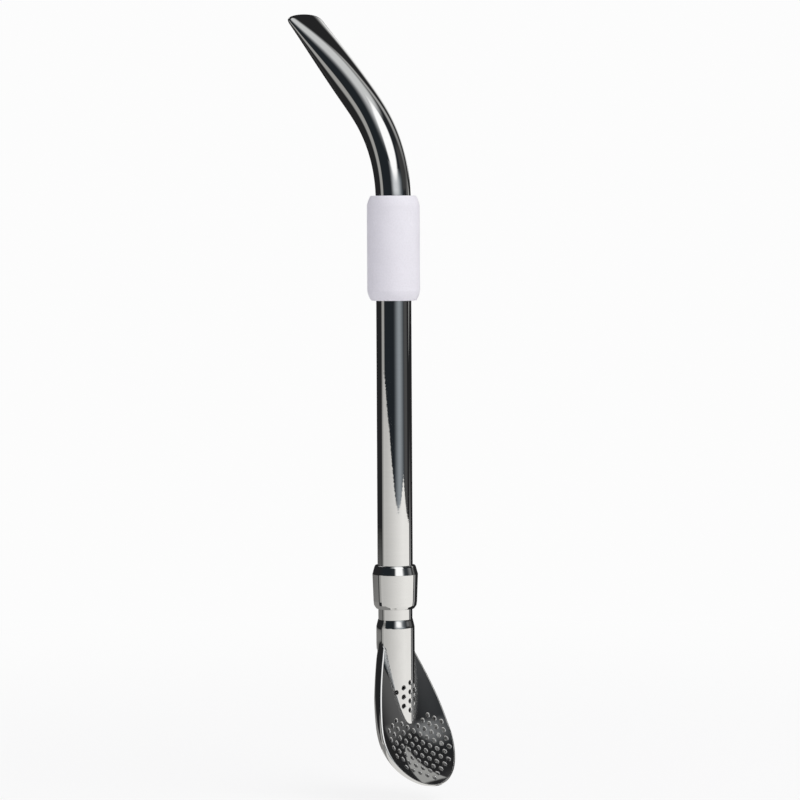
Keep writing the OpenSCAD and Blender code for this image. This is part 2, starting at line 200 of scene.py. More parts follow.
def plain_mesh(name, verts, faces=()):
    """A mesh of these points and faces."""
    mesh = bpy.data.meshes.new(name)
    mesh.from_pydata([tuple(v) for v in verts], [], faces)
    return mesh


def put(name, data):
    """A new object that holds the data, linked to the scene."""
    obj = bpy.data.objects.new(name, data)
    bpy.context.scene.collection.objects.link(obj)
    return obj


def shade_smooth(mesh, sharp=None):
    """Smooth shading that breaks at edges above an angle in degrees."""
    for poly in mesh.polygons:
        poly.use_smooth = True
    if sharp:
        mesh.set_sharp_from_angle(angle=math.radians(sharp))


def add_mesh(name, verts, faces, material, sharp=None, merge=1e-7, unpolished=None):
    """A closed smooth mesh in the row frame, its doubles merged and its faces turned outwards."""
    mesh = plain_mesh(name, verts, faces)
    if unpolished is not None:
        mark_unpolished(mesh, unpolished)
    bm = bmesh.new()
    bm.from_mesh(mesh)
    bmesh.ops.remove_doubles(bm, verts=bm.verts, dist=merge)
    bmesh.ops.dissolve_degenerate(bm, edges=bm.edges, dist=1e-9)
    bmesh.ops.recalc_face_normals(bm, faces=bm.faces)
    if bm.calc_volume(signed=True) < 0:
        bmesh.ops.reverse_faces(bm, faces=bm.faces)
    bm.to_mesh(mesh)
    bm.free()
    shade_smooth(mesh, sharp)
    mesh.materials.append(material)
    return put(name, mesh)


def join_rings(rings, around=True, along=False):
    """Vertices and quads between rings of points.
    around closes each ring, and along joins the last ring to the first."""
    rings = np.asarray(rings)
    n, m = rings.shape[:2]
    faces = []
    for i in range(n if along else n - 1):
        a, b = i * m, (i + 1) % n * m
        for j in range(m if around else m - 1):
            k = (j + 1) % m
            faces.append((a + j, a + k, b + k, b + j))
    return rings.reshape(-1, 3), faces


# the half angle above which a corner counts as straight, and the most of a side that one corner takes
STRAIGHT = math.radians(89.5)
SIDE_SHARE = 0.49


def round_corners(points, steps):
    """A closed outline of (x, y, radius) corners as points, each corner rounded to its radius."""
    out = []
    n = len(points)
    for i in range(n):
        p, r = np.array(points[i][:2]), points[i][2]
        a = np.array(points[i - 1][:2]) - p
        b = np.array(points[(i + 1) % n][:2]) - p
        la, lb = np.linalg.norm(a), np.linalg.norm(b)
        a, b = a / la, b / lb
        half = math.acos(np.clip(a @ b, -1, 1)) / 2
        if r <= 0 or half > STRAIGHT:
            out.append(p)
            continue
        cut = min(r / math.tan(half), SIDE_SHARE * la, SIDE_SHARE * lb)
        r = cut * math.tan(half)
        centre = p + (a + b) / np.linalg.norm(a + b) * r / math.sin(half)
        v0, v1 = p + a * cut - centre, p + b * cut - centre
        sweep = math.atan2(v0[0] * v1[1] - v0[1] * v1[0], v0 @ v1)
        for k in range(steps + 1):
            t = sweep * k / steps
            c, s = math.cos(t), math.sin(t)
            out.append(centre + np.array([v0[0] * c - v0[1] * s, v0[0] * s + v0[1] * c]))
    return np.array(out)


def held(profile, near=0.04 * MM):
    """The closed outline with a point near each end of its longer sides, which keeps their shading flat."""
    out = []
    for a, b in zip(profile, np.roll(profile, -1, axis=0)):
        out.append(a)
        long = np.linalg.norm(b - a)
        if long > 5 * near:
            out += [a + (b - a) * near / long, b - (b - a) * near / long]
    return np.array(out)


def turned(name, profile, material, segments):
    """A closed outline of (radius, height) turned about the stem axis."""
    profile = held(profile)
    angle = np.arange(segments) * TAU / segments
    ring = np.stack([np.cos(angle), np.sin(angle), np.zeros(segments)], 1)
    rings = [ring * p[0] + np.array([0, 0, p[1]]) for p in profile]
    return add_mesh(name, *join_rings(rings, along=True), material)


def stand_for(piece, body, node):
    """The piece rides on its body in place of the CAD node."""
    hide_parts(node)
    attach(piece, body)


# materials

def node_adder(tree):
    """A helper that adds a node to the tree, makes its settings and sets or links its inputs."""

    def add(kind, inputs=(), **settings):
        node = tree.nodes.new(kind)
        for key, value in settings.items():
            setattr(node, key, value)
        for key, value in dict(inputs).items():
            for source in value if isinstance(value, list) else [value]:
                if isinstance(source, bpy.types.NodeSocket):
                    tree.links.new(source, node.inputs[key])
                else:
                    node.inputs[key].default_value = source
        return node

    return add


def new_material(name):
    """An empty node material and the helper that adds its nodes."""
    material = bpy.data.materials.new(name)
    material.use_nodes = True
    material.node_tree.nodes.clear()
    return material, node_adder(material.node_tree)


def steel_finish(name, colour, rough, spread, stretch, grain, relief, tint, rings=None, raw=None):
    """Polished steel: faint rubbing marks in the gloss and a slight waviness of the surface.
    rough is the least roughness and spread what the marks add to it. stretch and grain are the marks' shape
    and fineness, relief is their depth and tint their share in the colour. rings is the depth of the fine
    rings that drawing or turning leaves, and raw the roughness of the faces that were left unpolished."""
    material, add = new_material(name)
    place = add("ShaderNodeTexCoord").outputs["Object"]
    rubbed = add("ShaderNodeMapping", {"Vector": place, "Scale": stretch}).outputs["Vector"]
    marks = add("ShaderNodeTexNoise", {"Vector": rubbed, "Scale": grain, "Detail": 4, "Roughness": 0.6})
    cloud = add("ShaderNodeTexNoise", {"Vector": place, "Scale": 180, "Detail": 2})
    both = add("ShaderNodeMath", {0: marks.outputs["Fac"], 1: cloud.outputs["Fac"]}, operation="MULTIPLY")
    gloss = add("ShaderNodeMapRange", {"Value": both.outputs["Value"], "From Min": 0.12, "From Max": 0.42,
                                       "To Min": rough, "To Max": rough + spread})
    height = add("ShaderNodeMath", {0: marks.outputs["Fac"], 1: relief}, operation="MULTIPLY")
    if rings:
        round_about = add("ShaderNodeMapping", {"Vector": place, "Scale": (0.03, 0.03, 1)}).outputs["Vector"]
        ripple = add("ShaderNodeTexNoise", {"Vector": round_about, "Scale": 1400, "Detail": 0})
        height = add("ShaderNodeMath", {0: ripple.outputs["Fac"], 1: rings, 2: height.outputs["Value"]},
                     operation="MULTIPLY_ADD")
    bump = add("ShaderNodeBump", {"Height": height.outputs["Value"], "Strength": 1, "Distance": 0.02 * MM})
    lines = add("ShaderNodeMapRange", {"Value": marks.outputs["Fac"], "From Min": 0.3, "From Max": 0.7,
                                       "To Min": 1 - tint, "To Max": 1 + tint})
    shade = add("ShaderNodeVectorMath", {0: colour, "Scale": lines.outputs["Result"]}, operation="SCALE")
    metal = add("ShaderNodeBsdfPrincipled", {"Base Color": shade.outputs["Vector"], "Metallic": 1,
                                             "Roughness": gloss.outputs["Result"],
                                             "Normal": bump.outputs["Normal"]})
    surface = metal.outputs["BSDF"]
    if raw:
        hidden = add("ShaderNodeAttribute", attribute_name="unpolished")
        satin = add("ShaderNodeBsdfPrincipled", {"Base Color": shade.outputs["Vector"], "Metallic": 0.9,
                                                 "Roughness": raw, "Normal": bump.outputs["Normal"]})
        surface = add("ShaderNodeMixShader", {"Fac": hidden.outputs["Fac"], 1: surface,
                                              2: satin.outputs["BSDF"]}).outputs["Shader"]
    add("ShaderNodeOutputMaterial", {"Surface": surface})
    return material


def silicone_finish(name, colour, rough):
    """Matte silicone: fine moulded grain and a little uneven tone."""
    material, add = new_material(name)
    place = add("ShaderNodeTexCoord").outputs["Object"]
    grain = add("ShaderNodeTexNoise", {"Vector": place, "Scale": 2600, "Detail": 3, "Roughness": 0.65})
    cloud = add("ShaderNodeTexNoise", {"Vector": place, "Scale": 160, "Detail": 2})
    shade = add("ShaderNodeMapRange", {"Value": cloud.outputs["Fac"], "To Min": 0.97, "To Max": 1.03})
    speck = add("ShaderNodeMapRange", {"Value": grain.outputs["Fac"], "From Min": 0.3, "From Max": 0.7,
                                       "To Min": 0.965, "To Max": 1.03})
    dust = add("ShaderNodeMath", {0: shade.outputs["Result"], 1: speck.outputs["Result"]},
               operation="MULTIPLY")
    base = add("ShaderNodeVectorMath", {0: colour, "Scale": dust.outputs["Value"]}, operation="SCALE")
    spread = 0.06
    gloss = add("ShaderNodeMapRange", {"Value": grain.outputs["Fac"], "To Min": rough - spread,
                                       "To Max": rough + spread})
    bump = add("ShaderNodeBump", {"Height": grain.outputs["Fac"], "Strength": 0.25, "Distance": 0.04 * MM})
    body = add("ShaderNodeBsdfPrincipled", {"Base Color": base.outputs["Vector"],
                                            "Roughness": gloss.outputs["Result"],
                                            "Specular IOR Level": 0.35, "Normal": bump.outputs["Normal"],
                                            "Sheen Weight": 0.08, "Sheen Roughness": 0.5})
    add("ShaderNodeOutputMaterial", {"Surface": body.outputs["BSDF"]})
    return material


def finish_of(kind):
    """The finish of that name, made once."""
    found = bpy.data.materials.get(kind)
    if found:
        return found
    colours = bpy.context.scene.straw.finish
    if kind == "polished_tube":
        return steel_finish(kind, colours.steel, rough=0.012, spread=0.02, stretch=(0.12, 0.12, 1),
                            grain=1800, relief=0.03, tint=0.015, rings=0.05)
    if kind == "turned_steel":
        return steel_finish(kind, colours.steel, rough=0.03, spread=0.03, stretch=(0.15, 0.15, 1),
                            grain=2200, relief=0.02, tint=0.012, rings=0.03)
    if kind == "pressed_sheet":
        return steel_finish(kind, colours.sheet, rough=0.03, spread=0.035, stretch=(1, 1, 0.5),
                            grain=700, relief=0.04, tint=0.02, raw=0.38)
    if kind == "grip_silicone":
        return silicone_finish(kind, colours.silicone, rough=0.62)
    return silicone_finish(kind, colours.seal, rough=0.5)


# pieces

# the runs over which the tube's curvature sets in and dies out
BEND_RISE, BEND_FALL = 3 * MM, 13 * MM


class STRAW_OT_stem(bpy.types.Operator):
    """Bent steel tube, flattened to a lip at its upper end"""

    bl_idname = "straw.stem"
    bl_label = "Stem and mouthpiece"

    def execute(self, context):
        p = context.scene.straw.stem
        m = context.scene.straw.finish.segments
        r = p.diameter / 2
        phi = np.arange(m) * TAU / m
        across = np.array([0, 1.0, 0])
        path = self.centre_line(p)
        end = path[-1, 0]
        # how much the tube widens ahead of its flattening, and how full the lip's corners are
        early, full = 0.28, 0.96

        def ring(l, inset):
            """The tube's section at l along it, drawn in by inset."""
            x, z, tilt = (np.interp(l, path[:, 0], path[:, k]) for k in (1, 2, 3))
            past = max(0.0, l - end + p.mouth)
            flat = (min(past, p.mouth) / p.mouth) ** p.flat_late
            corner = max(0, (past - p.mouth + p.lip_corner) / p.lip_corner)
            cut = p.lip_corner * (1 - math.sqrt(max(0, 1 - corner * corner * full)))
            a = r + (p.lip_width / 2 - r) * flat * (1 + early - early * flat) - cut - inset
            b = r - (r - p.lip_thick / 2) * flat - inset
            face = np.array([math.cos(tilt), 0, math.sin(tilt)])
            section = np.outer(np.cos(phi) * a, across) + np.outer(np.sin(phi) * b, face)
            return np.array([x, 0, z]) + section

        half = p.wall / 2
        straight_rings, bend_rings, corner_rings, edge_rings = 28, 130, 9, 11
        corner_low = end - p.lip_corner
        bend = np.linspace(p.bend_start - BEND_RISE, corner_low, bend_rings)
        straight = np.linspace(p.foot, bend[0], straight_rings)[:-1]
        quarter = np.linspace(0, math.pi / 2, corner_rings)[1:]
        runs = np.concatenate([straight, bend, corner_low + (p.lip_corner - half) * np.sin(quarter)])
        outer = [ring(l, 0) for l in runs]
        edge = [ring(end - half + half * math.sin(a), half * (1 - math.cos(a)))
                for a in np.linspace(0, math.pi, edge_rings)[1:-1]]
        inner = [ring(l, p.wall) for l in runs[::3]]
        verts, faces = join_rings(outer + edge + inner[::-1], along=True)
        piece = add_mesh("stem_polished", verts, faces, finish_of("polished_tube"), sharp=60)
        stand_for(piece, "stem", "stem_tube")
        return {"FINISHED"}

    def centre_line(self, p):
        """Rows of length, x, z and tilt along the tube. The curvature rises and dies out over a short run,
        and the line ends where a plain bend of the same radius and angle would."""
        steps = 800
        long = p.bend_radius * p.bend_angle + (BEND_RISE + BEND_FALL) / 2
        s = np.linspace(0, long, steps)
        share = np.minimum(ease(s / BEND_RISE), ease((long - s) / BEND_FALL))
        tilt = np.concatenate([[0], np.cumsum((share[1:] + share[:-1]) / 2)])
        tilt *= p.bend_angle / tilt[-1]
        step = s[1] - s[0]
        middle = (tilt[1:] + tilt[:-1]) / 2
        x = np.concatenate([[0], np.cumsum(-np.sin(middle) * step)])
        z = np.concatenate([[0], np.cumsum(np.cos(middle) * step)])
        c, n = math.cos(p.bend_angle), math.sin(p.bend_angle)
        end_x = -p.bend_radius * (1 - c) - p.mouth * n
        end_z = p.bend_start + p.bend_radius * n + p.mouth * c
        z += end_z - z[-1] - (x[-1] - end_x) * c / n
        rest = (x[-1] - end_x) / n
        rows = [(p.foot, 0, p.foot, 0), *zip(z[0] + s, x, z, tilt)]
        rows.append((z[0] + long + rest, end_x, end_z, p.bend_angle))
        return np.array(rows)


class STRAW_OT_grip(bpy.types.Operator):
    """Moulded silicone sleeve with sloped ends"""

    bl_idname = "straw.grip"
    bl_label = "Silicone grip"

    def execute(self, context):
        p = context.scene.straw.grip
        r, e = p.diameter / 2, p.end_diameter / 2
        soft, crisp = 0.35 * MM, 0.1 * MM
        slope_steps, side_steps, corner_steps, segments = 9, 13, 4, 128
        slope = []
        for q in np.linspace(0, 1, slope_steps):
            x = e + (r - e) * q + p.bulge * 4 * q * (1 - q)
            slope.append((x, p.slope * q, soft if q in (0, 1) else 0))
        low = [(x, p.low + y, corner) for x, y, corner in slope]
        high = [(x, p.low + p.height - y, corner) for x, y, corner in reversed(slope)]
        sides = [(r, p.low + p.slope + (p.height - 2 * p.slope) * q, 0)
                 for q in np.linspace(0, 1, side_steps)[1:-1]]
        bore = [(p.bore / 2, p.low + p.height, crisp), (p.bore / 2, p.low, crisp)]
        profile = round_corners(low + sides + high + bore, corner_steps)
        piece = turned("grip_moulded", profile, finish_of("grip_silicone"), segments)
        stand_for(piece, "grip", "grip_sleeve")
        return {"FINISHED"}


def new_tree(name, inputs):
    """A geometry tree with named inputs, the helper that adds its nodes, and the sockets of the inputs."""
    tree = bpy.data.node_groups.new(name, "GeometryNodeTree")
    for key, kind in inputs.items():
        tree.interface.new_socket(key, in_out="INPUT", socket_type="NodeSocket" + kind)
    tree.interface.new_socket("Geometry", in_out="OUTPUT", socket_type="NodeSocketGeometry")
    add = node_adder(tree)
    return tree, add, add("NodeGroupInput").outputs


def end_tree(add, shape, material):
    """Ends a geometry tree in a real mesh with its material."""
    real = add("GeometryNodeRealizeInstances", {"Geometry": shape})
    paint = add("GeometryNodeSetMaterial", {"Geometry": real.outputs["Geometry"], "Material": material})
    add("NodeGroupOutput", {"Geometry": paint.outputs["Geometry"]})


def thread_tree():
    """Nodes that sweep a thread's section along a spiral."""
    tree, add, given = new_tree("screw_thread", {
        "Turns": "Float", "Radius": "Float", "Rise": "Float", "Root": "Float", "Depth": "Float",
        "Low": "Float", "Material": "Material"})
    spiral = add("GeometryNodeCurveSpiral", {
        "Resolution": 64, "Rotations": given["Turns"], "Start Radius": given["Radius"],
        "End Radius": given["Radius"], "Height": given["Rise"], "Reverse": False})
    upright = add("GeometryNodeSetCurveNormal", {"Curve": spiral.outputs["Curve"]}, mode="Z_UP")
    crest_share = 0.3
    crest = add("ShaderNodeMath", {0: given["Root"], 1: crest_share}, operation="MULTIPLY")
    section = add("GeometryNodeCurvePrimitiveQuadrilateral", {
        "Bottom Width": given["Root"], "Top Width": crest.outputs["Value"], "Height": given["Depth"],
        "Offset": 0}, mode="TRAPEZOID")
    turn = add("GeometryNodeTransform", {
        "Geometry": section.outputs["Curve"], "Rotation": (0, 0, -math.pi / 2)})
    sweep = add("GeometryNodeCurveToMesh", {
        "Curve": upright.outputs["Curve"], "Profile Curve": turn.outputs["Geometry"], "Fill Caps": True})
    offset = add("ShaderNodeCombineXYZ", {"Z": given["Low"]})
    lift = add("GeometryNodeTransform", {
        "Geometry": sweep.outputs["Mesh"], "Translation": offset.outputs["Vector"]})
    end_tree(add, lift.outputs["Geometry"], given["Material"])
    return tree


def grown(name, tree, values, base=None):
    """The plain mesh that a node tree makes, with its named inputs set by their identifiers."""
    carrier = put(name + "_carrier", base or bpy.data.meshes.new(name + "_base"))
    modifier = carrier.modifiers.new("grow", "NODES")
    modifier.node_group = tree
    keys = {item.name: item.identifier for item in tree.interface.items_tree
            if item.item_type == "SOCKET" and item.in_out == "INPUT"}
    for key, value in values.items():
        modifier[keys[key]] = value
    bpy.context.view_layer.update()
    depsgraph = bpy.context.evaluated_depsgraph_get()
    mesh = bpy.data.meshes.new_from_object(carrier.evaluated_get(depsgraph), depsgraph=depsgraph)
    mesh.name = name
    carrier.modifiers.remove(modifier)
    bpy.data.objects.remove(carrier)
    if not len(mesh.polygons):
        raise RuntimeError(name + " came out empty")
    return mesh


# the fine rounding of a turned edge, the gap of a soldered seat and the thickness of the bush's flange
EDGE, SEAT_GAP, FLANGE = 0.08 * MM, 0.02 * MM, 0.5 * MM


class STRAW_OT_screw_joint(bpy.types.Operator):
    """Threaded bush, collar, seal ring and neck tube"""

    bl_idname = "straw.screw_joint"
    bl_label = "Screw joint"

    def execute(self, context):
        straw = context.scene.straw
        ledge = straw.stem.foot - FLANGE
        self.bush(straw, ledge)
        self.collar(straw, ledge)
        self.seal(straw)
        self.neck(straw)
        return {"FINISHED"}

    def bush(self, straw, ledge):
        """The bush that is soldered into the stem, and its thread."""
        p, stem, steel = straw.joint, straw.stem, finish_of("turned_steel")
        bore, core = p.bush_bore / 2, p.core / 2
        flange, spigot = stem.diameter / 2 - SEAT_GAP, stem.diameter / 2 - stem.wall - SEAT_GAP
        seat, top = stem.foot - SEAT_GAP, stem.foot + 6 * MM
        bush = turned("bush_turned", round_corners([
            (bore, p.bush_low, 0.2 * MM), (core, p.bush_low, 0.25 * MM), (core, ledge, 0),
            (flange, ledge, EDGE), (flange, seat, EDGE), (spigot, seat, 0), (spigot, top, EDGE),
            (bore, top, EDGE)], steps=3), steel, straw.finish.segments)
        turns = 3.85
        sunk = 0.1 * MM
        depth = (p.thread - p.core) / 2 + sunk
        ridge = put("bush_thread", grown("bush_thread", thread_tree(), {
            "Turns": turns, "Radius": p.thread / 2 - depth / 2, "Rise": turns * p.pitch, "Root": 0.74 * MM,
            "Depth": depth, "Low": p.bush_low + 0.5 * MM, "Material": steel}))
        stand_for(bush, "stem", "thread_bush")
        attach(ridge, "stem")

    def collar(self, straw, ledge):
        """The collar, plain inside, where its thread is hidden."""
        p = straw.joint
        mouth, bore = 4.06 * MM, 3.98 * MM
        seat, low = p.neck / 2 + SEAT_GAP, -p.collar_height
        # down the inside, then up over the rolled edge to the bevel
        collar = turned("collar_turned", round_corners([
            (mouth, 0, 0.1 * MM), (mouth, ledge - 0.1 * MM, 0), (bore, ledge - 0.4 * MM, 0),
            (bore, p.bush_low, 0), (seat, p.bush_low, 0), (seat, low, 0.05 * MM),
            (p.neck / 2 + 0.42 * MM, low, 0.25 * MM),
            (p.collar_low / 2 - 0.12 * MM, low + p.roll * 0.75, 0.8 * MM),
            (p.collar_low / 2, low + p.roll * 1.7, p.roll * 1.4),
            (p.collar_wide / 2, -p.bevel, 0.25 * MM),
            (p.collar_top / 2 + 0.02 * MM, -0.17 * p.bevel, 0.7 * MM),
            (p.collar_top / 2 - 0.16 * MM, 0, 0.16 * MM)], steps=6),
            finish_of("turned_steel"), straw.finish.segments)
        stand_for(collar, "filter", "collar")

    def seal(self, straw):
        """The ring between the bush and the collar's floor."""
        inner, outer, low, high, soft = 2.9 * MM, 3.83 * MM, -8.2 * MM, -7.45 * MM, 0.2 * MM
        seal = turned("seal_moulded", round_corners([
            (inner, low, soft), (outer, low, soft), (outer, high, soft), (inner, high, soft)], steps=4),
            finish_of("seal_silicone"), straw.finish.segments)
        stand_for(seal, "seal", "seal_washer")

    def neck(self, straw):
        """The drawn tube between the collar and the spoon's sleeve."""
        p = straw.joint
        outer, inner = p.neck / 2, p.neck / 2 - p.neck_wall
        high, low = -8.25 * MM, straw.spoon.sleeve_top - 5 * MM
        neck = turned("neck_drawn", round_corners([
            (outer, high, EDGE), (inner, high, EDGE), (inner, low, EDGE), (outer, low, EDGE)], steps=3),
            finish_of("polished_tube"), straw.finish.segments)
        stand_for(neck, "filter", "neck_tube")


class Spoon:
    """The spoon's curves. s runs down the spoon, y across it and u out of the dish,
    and l and t run along and across the front sheet's flat blank."""

    def __init__(self, p):
        self.p = p
        self.r = p.sleeve / 2
        self.sin, self.cos = math.sin(p.lean), math.cos(p.lean)
        self.ridge_low = 2.3 * MM

    def spot(self, s, y, u):
        """The point at s, y and u in the row frame."""
        p = self.p
        return np.stack([p.dish_x + s * self.sin + u * self.cos, y + 0 * s,
                         p.frame_z - s * self.cos + u * self.sin], -1)

    def half_width(self, s, g=0.0):
        """Half the spoon's width at s, drawn in by g."""
        p = self.p
        t = np.clip((s - p.flare_at) / (p.wide_at - p.flare_at), 0, 1)
        upper = self.r + (p.width / 2 - self.r) * (1 - (1 - t) ** p.flare) - g
        q = np.clip((s - p.wide_at) / (p.end - g - p.wide_at), 0, 1)
        return np.where(s < p.wide_at, upper, (p.width / 2 - g) * np.sqrt(1 - q * q))

    def depth(self, s, g):
        """Depth of the back below the rim at s, drawn in by g."""
        p = self.p
        d0 = self.r / self.cos
        t = np.clip((s - p.flare_at) / (p.deep_at - p.flare_at), 0, 1)
        q = np.clip((s - p.deep_at) / (p.end - g - p.deep_at), 0, 1)
        upper = d0 + (p.back_deep - d0) * t - g
        return np.where(s < p.deep_at, upper, (p.back_deep - g) * np.sqrt(1 - q * q))

    def reach(self, s):
        """Distance of the dish from its axis at s."""
        p = self.p
        # short of a quarter turn, where the root would end
        q = np.clip(s - p.dish_turn, 0, 0.99 * p.dish_along)
        return p.dish_across - p.dish_along + np.sqrt(p.dish_along ** 2 - q * q)

    def dish(self, s, y):
        """Height of the dish at s and y."""
        return self.p.dish_across - np.sqrt(self.reach(s) ** 2 - y * y)

    def along(self, l):
        """s of the dish at a length l along its middle line."""
        p = self.p
        turn_limit = 1.5
        turn = np.clip((l - p.dish_turn) / p.dish_along, 0, turn_limit)
        return np.where(l < p.dish_turn, l, p.dish_turn + p.dish_along * np.sin(turn))

    def ridge_u(self, s, angle):
        """Height of the sleeve's cylinder at s and an angle about the stem axis."""
        return (self.r * np.cos(angle) - self.p.dish_x - s * self.sin) / self.cos

    def edge_angle(self, s):
        """Angle of the front sleeve's edge above the wings."""
        p = self.p
        low = p.dish_x + self.ridge_low * self.sin + self.dish(self.ridge_low, self.r) * self.cos
        x = low * ease((s - p.flare_at) / (self.ridge_low - p.flare_at))
        return np.arccos(x / self.r)

    def seam_u(self, s, x):
        """Height above the dish's frame of a point at distance x from the stem axis."""
        return (x - self.p.dish_x - s * self.sin) / self.cos

    def fillet_of(self, s):
        """The fillet between ridge and dish at s: the angle on the ridge where it starts, y and u of its
        centre, and its radius."""
        f = self.p.fillet * ease((s - self.ridge_low) / (2.5 * MM)) + 1e-7

        def centre(y):
            """u and x of the fillet's centre at y."""
            u = self.dish(s, y) + f
            return u, self.p.dish_x + s * self.sin + u * self.cos

        widest, halvings = 6 * MM, 44
        low, high = np.zeros_like(s), np.full_like(s, widest)
        for _ in range(halvings):
            y = (low + high) / 2
            near = np.hypot(centre(y)[1], y) < self.r + f
            low, high = np.where(near, y, low), np.where(near, high, y)
        y = (low + high) / 2
        u, x = centre(y)
        angle = np.arctan2(y, np.maximum(x, 1e-9))
        flat = y < 1e-8
        return np.where(flat, 0, angle), np.where(flat, 0, y), u, f

    def front(self, l, t):
        """The front sheet's outer face at l along it and t across it."""
        s = self.along(l)
        side, t = np.where(t < 0, -1.0, 1.0), np.abs(t)
        turn, y_mid, u_mid, f = self.fillet_of(s)
        plain = s < self.ridge_low
        past_edge = 2.2
        turn = np.where(plain, past_edge, turn)
        a = self.r * turn
        # ridge
        angle = np.minimum(t / self.r, turn)
        y, u = self.r * np.sin(angle), self.ridge_u(s, angle)
        z = self.p.frame_z - s * self.cos + u * self.sin
        # fillet
        y_turn, u_turn = self.r * np.sin(turn), self.ridge_u(s, turn)
        from_ridge = np.arctan2(y_turn - y_mid, -(u_turn - u_mid))
        sweep = np.where(plain, 0, -from_ridge)
        b = f * np.abs(sweep)
        w = np.clip((t - a) / np.maximum(b, 1e-9), 0, 1)
        bent = from_ridge * (1 - w)
        in_fillet = (t > a) & ~plain
        y = np.where(in_fillet, y_mid + f * np.sin(bent), y)
        u = np.where(in_fillet, u_mid - f * np.cos(bent), u)
        # wing
        wing = (t > a + b) & ~plain
        y = np.where(wing, y_mid + t - a - b, y)
        u = np.where(wing, self.dish(s, y), u)
        out = self.spot(s, side * y, u)
        # shoulder at the sleeve's top
        p = self.p
        q = np.clip((z - p.sleeve_top + p.shoulder) / p.shoulder, 0, 1)
        shrink = np.where(plain, 1 - q * (1 - p.shoulder_diameter / p.sleeve), 1)
        return out * np.stack([shrink, shrink, np.ones_like(shrink)], -1)

    def wing_from(self, s):
        """t and y at which the fillet ends and the wing starts at s."""
        turn, y_mid, u_mid, f = self.fillet_of(s)
        sweep = np.arctan2(self.r * np.sin(turn) - y_mid, u_mid - self.ridge_u(s, turn))
        return self.r * turn + f * np.abs(sweep), y_mid

    def across(self, l, y):
        """t of the point of the wing at l and y."""
        start, y_mid = self.wing_from(self.along(l))
        ya = np.abs(y)
        t = np.where(ya > y_mid, start + ya - y_mid, self.r * np.arcsin(np.clip(ya / self.r, 0, 1)))
        return np.where(y < 0, -t, t)

    def missed(self, l, t):
        """Share of the corner beside the ridge that the polishing wheel misses, most where it is narrow."""
        s = self.along(l)
        start = self.wing_from(s)[0]
        past = np.abs(t) - start
        near = np.clip(1 - np.where(past < 0, -past / self.p.fillet, past / MM), 0, 1)
        share = near * np.clip(start / MM, 0, 1)
        loss, run = 0.7, 14 * MM
        fade = 1 - loss * ease((s - self.ridge_low) / run)
        return np.where(s < self.ridge_low, 0, share * fade)

    def top_l(self, t):
        """l of the sleeve's top edge at t."""
        x = self.p.shoulder_diameter / 2 * np.cos(t / self.r)
        return (x - self.p.dish_x) * self.sin - (self.p.sleeve_top - self.p.frame_z) * self.cos

    def holes(self):
        """Centres (l, t) of all perforations in the flat blank."""
        p = self.p
        out = []
        # the perforated field is an oval, cut off at its top and kept clear of the ridge
        field_mid, field_long, field_wide, field_top = 23 * MM, 10.4 * MM, 9.7 * MM, 18 * MM
        before_ridge, beside_ridge = 0.05 * MM, 0.85 * MM
        for k in range(-5, 6):
            for i in range(-4, 10):
                l = p.hole_from + p.hole_step * (i + (abs(k) % 2) / 2)
                y = p.hole_side + p.hole_column * k
                s = self.along(np.array([l]))
                x = self.spot(s, np.array([y]), self.dish(s, np.array([y])))[0][0]
                inside = ((l - field_mid) / field_long) ** 2 + (p.hole_column * k / field_wide) ** 2 < 1
                clear = x > self.r + before_ridge or math.hypot(x, y) > self.r + beside_ridge
                if inside and l > field_top and clear:
                    out.append((l, float(self.across(np.array([l]), np.array([y]))[0])))
        ridge_holes = (4, 3, 1)
        for j in range(-2, 3):
            for i in range(ridge_holes[abs(j)]):
                angle = p.ridge_turn * j
                z = p.ridge_from - p.ridge_step * (i + abs(j) / 2)
                x = self.r * math.cos(angle)
                out.append(((x - p.dish_x) * self.sin - (z - p.frame_z) * self.cos, self.r * angle))
        return np.array(out)


# points of the blank's half top edge, and sides of a hole
TOP_POINTS = 40
HOLE_SIDES = 28


def blank_half(spoon, thick):
    """Half of the front sheet's outline in l and t, from the middle of its top round to the tip,
    and the tip's l."""
    p = spoon.p
    inset = thick + 0.02 * MM
    tip = p.dish_turn + p.dish_along * math.asin((p.end - inset - p.dish_turn) / p.dish_along)
    upper, lower = 20 * MM, 33 * MM
    late = 1 - np.sin(np.linspace(0, 1, 26)[1:] * math.pi / 2)
    ls = np.concatenate([np.linspace(spoon.ridge_low, upper, 60)[:-1], np.linspace(upper, lower, 48),
                         tip - (tip - lower) * late])
    ls = np.minimum(ls, tip - 1e-7)
    wide = spoon.half_width(spoon.along(ls), inset)
    side = np.stack([ls, np.abs(spoon.across(ls, np.maximum(wide, 1e-6)))], 1)
    edge_l = np.linspace(p.flare_at - 5 * MM, spoon.ridge_low, 40)[:-1]
    edge_t = spoon.r * spoon.edge_angle(edge_l)
    edge = np.stack([edge_l, edge_t], 1)[edge_l > spoon.top_l(edge_t) + 0.05 * MM]
    top_t = np.linspace(0, edge[0, 1], TOP_POINTS)
    top = np.stack([spoon.top_l(top_t), top_t], 1)
    return np.concatenate([top, edge, side]), tip


